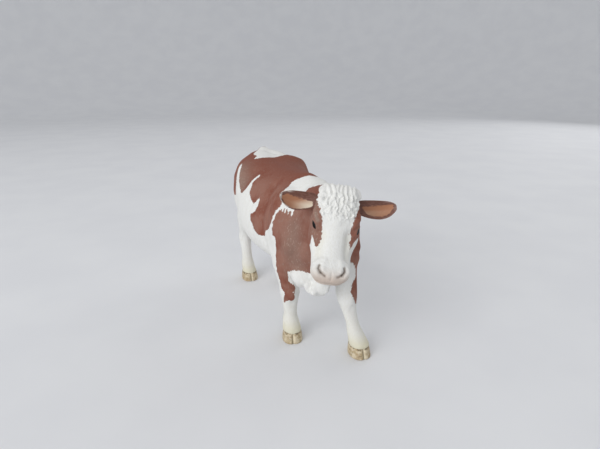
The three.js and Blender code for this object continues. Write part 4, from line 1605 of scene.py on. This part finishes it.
    # Outlines on the forelegs as angles from the front, outwards, and heights
    right_leg: Outline = (
        (60, 46), (59, 43), (58, 40), (59, 36), (56, 33.3), (61, 29.4), (60, 27.2), (48, 25.9), (52, 23.8),
        (61, 21.9), (59, 19.8), (32, 21.5), (20, 21.6), (8, 20.9), (-4, 22.4), (-8, 24.3), (-6, 26),
        (-1, 26.4), (-19, 27.3), (-19, 28.5), (-12, 29.9), (8, 32), (7, 34.7), (9, 40), (6, 46),
    )  # fmt: skip
    left_leg: Outline = (
        (0, 46), (2, 43), (5, 42), (11, 40.8), (20, 39.2), (25, 37.5), (27, 35.8), (28, 34.6), (20, 33),
        (9, 31.4), (2, 29.6), (2, 27.2), (15, 24.5), (40, 21.6), (66, 26), (92, 32), (112, 40), (112, 46),
    )  # fmt: skip
    # Outline on the back of the rump as places across it and heights
    rump: Outline = (
        (-24, 90), (-24, 58), (-17, 59.5), (-13.5, 61), (-10.5, 58.5), (-8, 56.6), (-5.8, 59), (-4, 63),
        (-2, 64.5), (1.5, 63), (4, 59.6), (7.2, 58), (10, 61), (12.5, 65.5), (17, 67), (24, 66), (24, 90),
    )  # fmt: skip
    # Outlines on the head as angles from the face and heights in its own frame
    right_face: Outline = (
        (-62, 8), (-57, 5.5), (-52.5, 3.5), (-50.5, 1.5), (-46, -0.4), (-41, -2.1), (-35.5, -4.6),
        (-33.2, -6.6), (-34.5, -9), (-38.5, -10.6), (-40, -12.6), (-44.5, -14.8), (-51, -15.6), (-56, -15.1),
        (-59.5, -13.7), (-64, -12.2), (-68, -11.5), (-72, -13.2), (-78, -14.5), (-90, -14.5), (-110, -14.5),
        (-150, -16), (-200, -16), (-200, 16), (-92, 16), (-72, 11),
    )  # fmt: skip
    left_face: Outline = (
        (62, 8), (60, 5), (54, 3), (48, 1.5), (44, -0.7), (38.5, -3.4), (36.2, -5.6), (36.2, -8),
        (38.6, -9.7), (44, -10.4), (46, -12), (49, -14.2), (53, -14.9), (55.5, -12.9), (61, -11.5),
        (69, -10.2), (80, -9.4), (95, -11.5), (115, -13.5), (150, -16), (200, -16), (200, 16), (92, 16),
        (72, 11),
    )  # fmt: skip

    @staticmethod
    def patch(flat: Array, outline: Outline, scale: Place) -> Array:
        """Depth of unrolled places in an outline, whose two numbers are scaled to millimetres."""
        return inside_distance(flat, refine((*outline, outline[0]), 3)[:-1] * scale)

    def body(self, points: Array) -> Array:
        """Depth of points in the brown of the torso and the neck.

        Args:
            points: Places in the figure.

        Returns:
            One depth for each, negative in the white.
        """
        x, y, z = points.T
        flat = np.column_stack([y, np.arctan2(x, z - self.axis) * self.girth])
        scale = (1.0, math.radians(self.girth))
        saddle, tail_head, right, left = (
            self.patch(flat, outline, scale)
            for outline in (self.saddle, self.tail_head, self.right_shoulder, self.left_shoulder)
        )
        saddle = np.minimum(saddle, -tail_head)
        rear = self.patch(points[:, ::2], self.rump, (1.0, 1.0))
        saddle = saddle + ramp(y, *self.rump_start) * (rear - saddle)
        above = z - np.interp(-y, self.chest_at, self.chest_edge)
        above = above + self.chest_drop * ramp(np.abs(x + 1), *self.flank) * ramp(x, *self.flank_side)
        chest = np.where(y < -self.chest_at[0], above, FAR)
        return np.maximum(saddle, np.minimum(np.maximum(right, left), chest))

    def leg(self, points: Array, limb: Limb, outline: Outline) -> Array:
        """Depth of points in the brown of a foreleg.

        Args:
            points: Places in the figure.
            limb: The foreleg.
            outline: Outline of its brown.

        Returns:
            One depth for each, negative in the white.
        """
        x, y, z = points.T
        middle_x, middle_y, _, _ = limb.section(z)
        angle = np.arctan2(limb.side.value * (x - middle_x), middle_y - y)
        flat = np.column_stack([angle * self.leg_girth, z])
        depth = self.patch(flat, outline, (math.radians(self.leg_girth), 1.0))
        gap = np.hypot(x - middle_x, y - middle_y)
        return np.where((gap < self.leg_room) & (z < self.leg_top), depth, -FAR)

    def face(self, points: Array) -> Array:
        """Depth of points in the brown of the head.

        Args:
            points: Places in the figure.

        Returns:
            One depth for each, negative in the white.
        """
        x, y, z = self.head.local(points).T
        flat = np.column_stack([np.arctan2(x, 1.0 - y) * self.head_girth, z])
        scale = (math.radians(self.head_girth), 1.0)
        right, left = (self.patch(flat, outline, scale) for outline in (self.right_face, self.left_face))
        return np.maximum(right, left)

    def fields(self, skin: Skin) -> dict[Field, Array]:
        """All painted fields of a piece of skin.

        Args:
            skin: The piece.

        Returns:
            The values by field.
        """
        points = skin.co
        places = self.head.local(points)
        coat = self.body(points)
        for limb, outline in zip(LIMBS, (self.right_leg, self.left_leg)):
            coat = np.maximum(coat, self.leg(points, limb, outline))
        behind = places[:, 1]
        on_skull = ramp(self.head.depth(points), *self.skull_edge) * ramp(behind, *self.jaw_back)
        on_head = np.maximum(on_skull, ramp(behind, *self.face_back))
        coat = coat + on_head * (self.face(points) - coat)
        height = points[:, 2]
        wash = sum(share * ramp(height, start, full) for share, start, full in self.washes)
        # Painted shade beside the nose, carried in the wash field
        painted_nose_shade = self.nose_side_shade.on(self.mirrored(places))
        return {
            Field.COAT: np.clip(coat, -6, 6),
            Field.WASH_AND_SHADE: np.where(height < self.wash_top, wash, painted_nose_shade),
            Field.BLUSH: self.blush(places),
            Field.DARK: self.dark(places),
            Field.EYE: self.eyes(places),
            Field.DRYBRUSH_AND_SHEEN: self.drybrush_and_sheen(points, places),
            Field.DEEP: ramp(height, *DEEPENING) * (1 - on_head),
        }

    @staticmethod
    def mirrored(places: Array) -> Array:
        """Places of the head, with those of its right side moved to the left."""
        return np.column_stack([np.abs(places[:, 0]), places[:, 1:]])

    def blush(self, places: Array) -> Array:
        """Share of pink at the muzzle.

        Args:
            places: Places in the head's frame.

        Returns:
            One share for each.
        """
        x, y, z = places.T
        (low, start, full), (lips, middle, radius) = self.pink, self.lips
        share = ramp(z, start, full) * low + bell(z - middle, radius) * lips
        near = self.on_muzzle(z) & (np.abs(x) < self.muzzle_half) & (y < self.muzzle_back)
        return np.where(near, share, 0.0)

    def on_muzzle(self, heights: Array) -> Array:
        """Which heights in the head's frame are those of the muzzle."""
        return (heights > self.muzzle[0]) & (heights < self.muzzle[1])

    def dark(self, places: Array) -> Array:
        """Share of dark wash in nostrils and mouth.

        Args:
            places: Places in the head's frame.

        Returns:
            One share for each.
        """
        one_side = self.mirrored(places)
        facing = np.where(places[:, 1] < self.nostril_front, 1.0, 0.0)
        share = np.maximum(self.nostril.on(one_side * (1, 0, 1)) * facing, self.mouth.on(one_side))
        return np.where(self.on_muzzle(places[:, 2]), share, 0.0)

    def eyes(self, places: Array) -> Array:
        """Depth of places in the black of the eyes.

        Args:
            places: Places in the head's frame.

        Returns:
            One depth for each, negative outside.
        """
        x, y, z = places.T
        angle, height, radius = self.head.eye
        (au, az), (length, width) = self.head.eye_axis, self.head.eye_half
        back = np.where(x > 0, self.head.left_eye_back, 0.0)
        du = radius * (np.arctan2(np.abs(x), 1 - y) - np.radians(angle + back))
        dz = z - height
        along, across = du * au + dz * az, du * az - dz * au
        depth = width * (1 - (along / length) ** 2) - np.abs(across)
        near = (np.hypot(du, dz) < 3) & (np.hypot(x, 1 - y) < radius + 2)
        return np.where(near, np.maximum(depth, -1.0), -1.0)

    def drybrush_and_sheen(self, points: Array, places: Array) -> Array:
        """Share of dusty brushing and of painted sheen at points of the figure, which have these places in
        the head's frame.
        """
        work = ((self.hip_sheen, points), (self.throat, points), (self.brow_sheen, places), (self.cheek, places))
        return np.max([brushing.on(where) for brushing, where in work], axis=0)


@dataclass(frozen=True)
class Ear:
    """Leaf-shaped cupped ear, in a frame of its own on the head."""

    name: str
    side: Side
    sweep: float
    droop: float
    stretch: float
    # Warm colour at the tip and all over, and painted shade under the upper rim; on the left ear the colour
    # all over is partly painted shade too
    warmth_and_shade: Point
    # Lower and upper end of the bare hollow across the leaf, at distances from the root
    hollow: Rows
    root: Point = (6.6, 0.6, 1.9)
    # Share of pale hairs on the rim and the tip
    fringe: float = 0.85
    # Distance from the root, reach up and down, depth of the cup, thickness of the wall, fold of the rim
    leaf: Rows = (
        (-1.5, 2.0, 2.0, 0, 2.6, 0),
        (0, 2.3, 2.3, 0.1, 2.3, 0),
        (2.5, 2.8, 3.0, 0.8, 1.6, 0.6),
        (5.5, 2.7, 4.1, 1.6, 1.1, 1.0),
        (9, 2.5, 4.6, 2.0, 0.85, 0.9),
        (12, 2.2, 3.9, 1.6, 0.75, 0.6),
        (13.8, 1.7, 2.6, 0.9, 0.6, 0.3),
        (14.7, 1.1, 1.6, 0.4, 0.5, 0.1),
        (15.1, 0.5, 0.8, 0.2, 0.3, 0),
    )
    sides: int = 48
    squareness: float = 0.75
    # Pale hairs: where they start across the leaf, along its rim and at its tip
    rim_across: Place = (0.76, 0.92)
    rim_along: Place = (9.5, 12.5)
    tip_along: Place = (14.0, 14.6)
    # Warm colour: where it starts and is full along the leaf; painted shade: how far under the upper rim, in
    # millimetres
    warm_along: Place = (0.5, 12)
    rim_shade_under: Place = (2.4, 0.0)

    def frame(self, head: Head) -> Matrix:
        """Works out where the ear is.

        Args:
            head: The head that carries it.

        Returns:
            The matrix from the ear's frame to the figure's.
        """
        sign = self.side.value
        place = Matrix.Translation((sign * self.root[0], self.root[1], self.root[2]))
        turn = Euler((0.0, sign * math.radians(self.droop), -sign * math.radians(self.sweep)), "XYZ")
        return head.frame() @ place @ turn.to_matrix().to_4x4()

    def build(self, head: Head) -> Skin:
        """Builds the ear.

        Args:
            head: The head that carries it.

        Returns:
            The ear with its painted fields.
        """
        frame = np.array(self.frame(head) @ Matrix.Diagonal((self.stretch, 1.0, 1.0, 1.0)))
        sign = self.side.value
        c, s = soft_circle(self.sides, self.squareness)
        mould = Mould()
        rings = []
        for along, up, down, cup, wall, fold in refine(self.leaf, 5):
            middle = cup * (1 - c * c) - fold * np.clip(c, 0, 1) ** 2
            height = 0.5 * (up - down) + c * 0.5 * (up + down)
            rings.append(moved(ring_of(sign * along, middle + s * 0.5 * wall, height), frame))
        mould.loft(rings)
        skin = Skin(mould.rounded(self.name, 1))
        skin.store(self.fields(skin, np.linalg.inv(frame)))
        return skin

    def fields(self, skin: Skin, back: Array) -> dict[Field, Array]:
        """Painted fields of the ear.

        Args:
            skin: The ear.
            back: Matrix from the figure's frame to the ear's.

        Returns:
            The values by field.
        """
        places = moved(skin.co, back)
        along = self.side.value * places[:, 0]
        up, down, cup, fold = columns(along, refine(self.leaf, 5), 1, 2, 3, 5)
        half = np.maximum(0.5 * (up + down), 0.2)
        share = np.clip((places[:, 2] - 0.5 * (up - down)) / half, -1, 1)
        inner = places[:, 1] < cup * (1 - share * share) - fold * np.clip(share, 0, 1) ** 2
        ends = np.array(self.hollow)
        low, high = columns(along, ends, 1, 2)
        depth = half * np.minimum(share - low, high - share)
        depth = np.minimum(depth, np.minimum(along - ends[0, 0], ends[-1, 0] - along))
        rim = ramp(np.abs(share), *self.rim_across) * ramp(along, *self.rim_along)
        # Painted shade under the upper rim of the hollow
        tip, rim_shade, ground = self.warmth_and_shade
        under = ramp(half * (high - share), *self.rim_shade_under)
        warm_and_shade = ground + tip * ramp(along, *self.warm_along) + rim_shade * under
        return {
            Field.HOLLOW: np.where(inner, depth, -1.0),
            Field.WARMTH_AND_SHADE: np.clip(warm_and_shade, 0, 1),
            Field.PALE: self.fringe * np.maximum(rim, ramp(along, *self.tip_along)),
        }


@dataclass(frozen=True)
class Hoof:
    """Cloven hoof under one leg."""

    limb: Limb
    across: float = 4.8
    along: float = 5.8
    height: float = 5.2
    lean: float = 1.0
    sides: int = 96
    # Share of the height and swell of the section
    levels: Rows = (
        (0, 0.92), (0.03, 0.96), (0.15, 0.99), (0.6, 0.94), (0.9, 0.88), (0.985, 0.85), (1.0, 0.82),
    )  # fmt: skip
    # Heights and half width of the growth lines as shares, and their depth in millimetres
    lines: tuple[float, ...] = (0.3, 0.52, 0.74)
    line_width: float = 0.03
    line_depth: float = 0.1
    squareness: float = 0.86
    # Depth and half width of the cleft in front and of the one between the heels
    cleft: Place = (0.6, 0.5)
    heel_cleft: Place = (0.9, 0.8)
    # How far forwards the front starts and is full
    front_from: Place = (2.0, 3.6)
    # Places across the front of the dark slot and the pale line beside it, and half their width
    slot_at: float = -0.5
    line_at: float = 0.2
    line_half: float = 0.34

    def build(self) -> Skin:
        """Builds the hoof.

        Returns:
            The hoof with its painted fields.
        """
        mould = Mould()
        mould.loft(self.ring(share, swell) for share, swell in refine(self.levels, 6))
        skin = Skin(mould.plain(self.limb.hoof))
        x, y, z = skin.co.T
        share = z / self.height
        front = ramp(self.lean * share - y, *self.front_from)
        seam = 0.9 * bell(x - self.slot_at, self.line_half) * front * ramp(share, 0.92, 0.7)
        groove = 0.3 * ramp(share, 0.1, 0.5) + 0.7 * ramp(share, 0.66, 0.96)
        pale = 0.95 * bell(x - self.line_at, self.line_half) * front * ramp(share, 1.0, 0.9)
        skin.store({Field.GROOVE: groove, Field.DARK: seam, Field.PALE: pale})
        sign = self.limb.side.value
        turn = Matrix.Rotation(sign * math.radians(self.limb.toe_out), 3, "Z")
        skin.co = skin.co @ np.array(turn).T + (sign * self.limb.x, self.limb.y, 0)
        skin.write()
        return skin

    def ring(self, share: float, swell: float) -> Array:
        """One level section with its clefts and growth lines.

        Args:
            share: Height as a share of the whole.
            swell: Size of the section as a share of the hoof's.

        Returns:
            The points of the ring.
        """
        c, s = soft_circle(self.sides, self.squareness)
        line = sum(bell(share - line, self.line_width) for line in self.lines)
        shrink = 1 - self.line_depth * line / self.across
        x, y = c * self.across * swell * shrink, s * self.along * swell * shrink
        notch = sum(
            depth * bell(x, half) * np.clip(way * s, 0, 1)
            for way, (depth, half) in ((-1, self.cleft), (1, self.heel_cleft))
        )
        y = y + np.sign(-s) * notch
        return ring_of(x, y + self.lean * share, share * self.height)


@dataclass(frozen=True)
class Tail:
    """Tail with a switch of hair."""

    # Height, place along the body and half sizes
    stations: Rows = (
        (77.6, 48.4, 2.8, 2.0),
        (76.6, 51.6, 2.9, 2.6),
        (74.6, 54.4, 2.6, 2.6),
        (71.2, 56.4, 2.3, 2.3),
        (65, 57.8, 1.9, 1.9),
        (54, 57.6, 1.6, 1.6),
        (44, 57.4, 1.6, 1.6),
        (37, 57.6, 2.3, 2.2),
        (30, 58, 2.8, 2.6),
        (25, 58.2, 2, 1.9),
        (21.5, 58.4, 0.7, 0.7),
    )
    sides: int = 60
    # The switch: heights where it starts and ends, its locks and finer locks, and their rise as a share
    switch_top: Place = (46, 36)
    switch_end: Place = (20, 24)
    locks: int = 9
    fine_locks: int = 17
    lock_rise: float = 0.1
    # Edge of the brown, and the switch's wash: its strength, and the heights where it starts and is full
    brown_above: float = 67.0
    wash: Point = (0.35, 40, 22)

    def build(self) -> Skin:
        """Builds the tail.

        Returns:
            The tail with its painted fields.
        """
        mould = Mould()
        angle = np.arange(self.sides) * 2 * math.pi / self.sides
        rings = []
        for z, y, across, along in refine(self.stations, 8):
            hairy = ramp(z, *self.switch_top) * ramp(z, *self.switch_end)
            wave = np.sin(self.locks * angle + 0.35 * z) + 0.5 * np.sin(self.fine_locks * angle - 0.5 * z)
            size = 1 + self.lock_rise * hairy * wave
            x = across * size * np.cos(angle) + 0.35 * hairy * math.sin(0.45 * z)
            rings.append(ring_of(x, y + along * size * np.sin(angle), z))
        mould.loft(rings)
        skin = Skin(mould.plain("tail"))
        x, _, z = skin.co.T
        edge = self.brown_above - 1.5 * np.sin(3 * x)
        wash, start, full = self.wash
        skin.store({Field.COAT: np.clip(z - edge, -3, 3), Field.WASH_AND_SHADE: wash * ramp(z, start, full)})
        skin.store({Field.BLUSH: 0.0, Field.DARK: 0.0, Field.EYE: -1.0, Field.DRYBRUSH_AND_SHEEN: 0.0})
        skin.store({Field.DEEP: ramp(z, *DEEPENING)})
        return skin


@dataclass(frozen=True)
class Udder:
    """Small udder with four teats."""

    at: Place = (0, 27)
    # Height and half sizes
    bag: Rows = ((27.6, 3, 4), (28.6, 5.4, 7), (31.5, 7, 9.4), (35.5, 7.4, 10.4), (41, 7, 10))
    teat: Place = (3, 4)
    teat_length: float = 3.2
    teat_half: float = 0.95
    sides: int = 40
    voxel: float = 0.3
    # Share and rounds of relaxing
    evening: tuple[float, int] = (0.5, 10)

    def build(self) -> Skin:
        """Builds the udder.

        Returns:
            The udder with its painted fields.
        """
        mould = Mould()
        x, y = self.at
        c, s = soft_circle(self.sides, 1.0)
        mould.loft(ring_of(x + across * c, y + along * s, z) for z, across, along in refine(self.bag, 4))
        floor = self.bag[0][0]
        teats = [(x + i * self.teat[0], y + j * self.teat[1]) for i in (-1, 1) for j in (-1, 1)]
        for tx, ty in teats:
            place = Matrix.Translation((tx, ty, floor - 0.25 * self.teat_length))
            size = Matrix.Diagonal((self.teat_half, self.teat_half, 0.75 * self.teat_length, 1.0))
            mould.lump(place @ size)
        skin = Skin(mould.fused("udder", self.voxel))
        skin.relax(*self.evening)
        quarter = [
            Stroke(((x, y - 8, 29), (x, y, 27.4), (x, y + 8, 29)), 0.9, -0.5, False),
            Stroke(((x - 6, y, 29.5), (x, y, 27.4), (x + 6, y, 29.5)), 0.9, -0.35, False),
        ]
        skin.tool(quarter)
        away = np.min([np.hypot(skin.co[:, 0] - tx, skin.co[:, 1] - ty) for tx, ty in teats], axis=0)
        skin.store({Field.DARK: 0.5 * ramp(away, 2.0, 1.0) * ramp(skin.co[:, 2], 28.5, 26.0)})
        return skin


@dataclass(frozen=True)
class Lamp:
    """Soft square lamp that faces a point of the figure, with places and width in millimetres."""

    name: str
    place: Point
    width: float
    watts: float
    target: Point = (0, 0, 40)

    def hang(self) -> None:
        """Hangs the lamp in the scene."""
        light = bpy.data.lights.new(self.name, "AREA")
        light.size = self.width * MM
        light.energy = self.watts
        lamp = placed(self.name, light)
        lamp.location = Vector(self.place) * MM
        ahead = Vector(self.target) - Vector(self.place)
        lamp.rotation_euler = ahead.to_track_quat("-Z", "Y").to_euler()


@dataclass(frozen=True)
class Studio:
    """Pale floor that curves up all round, soft lamps and the camera at the photograph's view."""

    shift: Vector
    eye: Point = (-71, -211, 117)
    ahead: Point = (0.328, 0.896, -0.299)
    lens: float = 27.08
    sensor: float = 36.0
    near: float = 5.0
    wall_start: float = 1500.0
    wall_radius: float = 700.0
    wall_height: float = 200.0
    wall_steps: int = 16
    floor_steps: int = 96
    lamps: tuple[Lamp, ...] = (
        Lamp("key_lamp", (-900, -680, 800), 840, 7.4),
        Lamp("fill_lamp", (1080, 420, 620), 1000, 2.6),
        Lamp("back_lamp", (160, 840, 1040), 840, 1.0, (0, 0, 50)),
        Lamp("side_lamp", (-1500, -520, 420), 1000, 5.0, (0, -20, 30)),
    )
    sky: Colour = (0.96, 0.97, 1.0)
    sky_strength: float = 0.5

    def floor(self) -> None:
        """Makes the floor: a profile turned about the figure."""
        mesh = bpy.data.meshes.new("studio_floor")
        with opened(mesh) as bm:
            verts = [bm.verts.new(Vector((reach, 0.0, height)) * MM) for reach, height in self.profile()]
            edges = [bm.edges.new(pair) for pair in zip(verts, verts[1:])]
            turn = {"axis": (0, 0, 1), "angle": 2 * math.pi, "steps": self.floor_steps, "use_merge": True}
            bmesh.ops.spin(bm, geom=[*verts, *edges], **turn)
            bmesh.ops.remove_doubles(bm, verts=bm.verts, dist=1e-5)
            bmesh.ops.recalc_face_normals(bm, faces=bm.faces)
            if min(bm.faces, key=lambda face: face.calc_center_median().length).normal.z < 0:
                bmesh.ops.reverse_faces(bm, faces=bm.faces)
            for face in bm.faces:
                face.smooth = True
        mesh.materials.append(FloorPaint().mixed())
        floor = placed("studio_floor", mesh)

    def profile(self) -> list[Place]:
        """Places from the middle of the floor out to its edge and up.

        Returns:
            Pairs of distance from the middle and height, in millimetres.
        """
        places = [(0.0, 0.0), (0.3 * self.wall_start, 0.0)]
        for angle in np.linspace(0, 0.5 * math.pi, self.wall_steps):
            reach = self.wall_start + self.wall_radius * math.sin(angle)
            places.append((reach, self.wall_radius * (1 - math.cos(angle))))
        return [*places, (places[-1][0], places[-1][1] + self.wall_height)]

    def light(self) -> None:
        """Hangs the lamps and sets the sky."""
        world = bpy.data.worlds.new("studio_sky")
        bpy.context.scene.world = world
        world.use_nodes = True
        sky = world.node_tree.nodes["Background"]
        sky.inputs["Color"].default_value = (*self.sky, 1.0)
        sky.inputs["Strength"].default_value = self.sky_strength
        for lamp in self.lamps:
            lamp.hang()

    def camera(self) -> None:
        """Sets the camera where the photograph was taken from."""
        data = bpy.data.cameras.new("camera")
        data.sensor_fit = "HORIZONTAL"
        data.sensor_width = self.sensor
        data.lens = self.lens
        data.clip_start = self.near * MM
        camera = placed("camera", data)
        camera.location = (Vector(self.eye) + self.shift) * MM
        camera.rotation_euler = Vector(self.ahead).to_track_quat("-Z", "Y").to_euler()
        bpy.context.scene.camera = camera

    def set_up(self) -> None:
        """Builds the whole studio."""
        self.floor()
        self.light()
        self.camera()
        bpy.context.scene.view_settings.view_transform = "Standard"


@dataclass
class Figurine:
    """The whole cow, from its lofts to its painted pieces."""

    bench: Bench
    body: Body = field(default_factory=Body)
    head: Head = field(default_factory=Head)
    neck_cut: Cut = Cut("neck", (-14, -38, 50), (-0.371, -0.928, 0), lambda points: points[:, 2] > 24)
    # Shares by which stiff places and the soft body even out in a round, and the rounds
    stiff: float = 0.04
    soft: float = 0.5
    rounds: int = 40
    # Heights between which the body gets soft, and depths in the skull between which the head gets stiff
    soft_from: Place = (26, 40)
    stiff_from: Place = (-2.5, 0.0)
    # Share and rounds of relaxing after the body's tools, on the head's finer skin and after its tools
    settling: tuple[float, int] = (0.25, 3)
    head_evening: tuple[float, int] = (0.5, 6)
    head_settling: tuple[float, int] = (0.2, 1)
    ears: tuple[Ear, ...] = (
        Ear(
            "ear_right", Side.RIGHT, 9, 0, 0.99, (0.85, 0.35, 0.0),
            ((2.2, -0.78, -0.1), (3.2, -0.82, 0.0), (6, -0.84, 0.3), (9.5, -0.85, 0.5), (12.5, -0.8, 0.62),
             (14.2, -0.3, 0.3)),
        ),
        # The left ear's warmth all over is partly its own colour and partly painted shade
        Ear(
            "ear_left", Side.LEFT, 9, -8, 1.06, (0.15, 0.4, 0.65),
            ((3.0, 0.1, 0.3), (4.6, -0.6, 0.34), (7, -0.66, 0.5), (11, -0.64, 0.62), (12.8, -0.5, 0.66),
             (14, 0.1, 0.6)),
            (7.0, 0.6, 1.3), 0.12,
        ),
    )  # fmt: skip

    def __post_init__(self) -> None:
        """Prepares the map of the coat."""
        self.coat = CoatMap(self.head)

    def fused_skin(self) -> Skin:
        """The body, the head and the legs as one relaxed and tooled skin.

        Returns:
            The skin.
        """
        mould = Mould()
        self.body.lay(mould)
        self.head.lay(mould)
        for limb in LIMBS:
            mould.loft(limb.rings())
        skin = Skin(mould.fused("skin", self.body.voxel))
        on_head = ramp(self.head.depth(skin.co), *self.stiff_from)
        soft = ramp(skin.co[:, 2], *self.soft_from) * (1 - 0.9 * on_head)
        skin.relax(self.stiff + self.soft * soft, self.rounds)
        skin.tool(self.body.strokes())
        skin.tool([stroke for limb in LIMBS for stroke in limb.strokes()])
        skin.relax(*self.settling)
        skin.tool(self.body.folds())
        return skin

    def finished_head(self, mesh: bpy.types.Mesh) -> Skin:
        """The head with a finer skin and all its features.

        Args:
            mesh: The head as it was parted from the skin.

        Returns:
            The finished head.
        """
        with opened(mesh) as bm:
            bmesh.ops.subdivide_edges(bm, edges=bm.edges, cuts=1, use_grid_fill=True)
        skin = Skin(mesh)
        skin.relax(*self.head_evening)
        skin.tool(self.head.laid(skin, self.head.strokes()), self.head.frame())
        skin.tool(self.head.curls(skin), self.head.frame())
        skin.relax(*self.head_settling)
        return skin

    def build(self) -> None:
        """Builds every piece and sets it out."""
        coat = CoatPaint().mixed()
        ear_paint, horn, pink = (paint().mixed() for paint in (EarPaint, HornPaint, UdderPaint))
        cuts = [limb.cut() for limb in LIMBS] + [self.head.cut(), self.neck_cut]
        for name, mesh in self.fused_skin().part(cuts, "torso").items():
            skin = self.finished_head(mesh) if name == "head" else Skin(mesh)
            skin.store(self.coat.fields(skin))
            slot = Slot.COAT_BROWN if name in ("torso", "neck") else Slot.COAT_WHITE
            self.bench.set_out(skin.mesh, name, coat, slot)
        for ear in self.ears:
            self.bench.set_out(ear.build(self.head).mesh, ear.name, ear_paint, Slot.EAR_BROWN)
        for limb in LIMBS:
            self.bench.set_out(Hoof(limb).build().mesh, limb.hoof, horn, Slot.HOOF_HORN, 40.0)
        self.bench.set_out(Tail().build().mesh, "tail", coat, Slot.COAT_WHITE)
        self.bench.set_out(Udder().build().mesh, "udder", pink, Slot.UDDER_PINK)


def figure_shift() -> Vector:
    """Shift in millimetres from the figure's own places to the frame's, read off the torso."""
    low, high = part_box("torso")
    return Vector((0.5 * (low.x + high.x) / MM, high.y / MM - Body().torso[-1][0], 0.0))


def main() -> None:
    """Loads the frame, builds the figurine and its studio, and logs the shift."""
    logging.basicConfig(level=logging.INFO, format="%(name)s: %(message)s")
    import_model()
    shift = figure_shift()
    LOG.info("shift %s", tuple(round(value, 4) for value in shift))
    Figurine(Bench(shift)).build()
    Studio(shift).set_up()


if __name__ == "__main__":
    main()
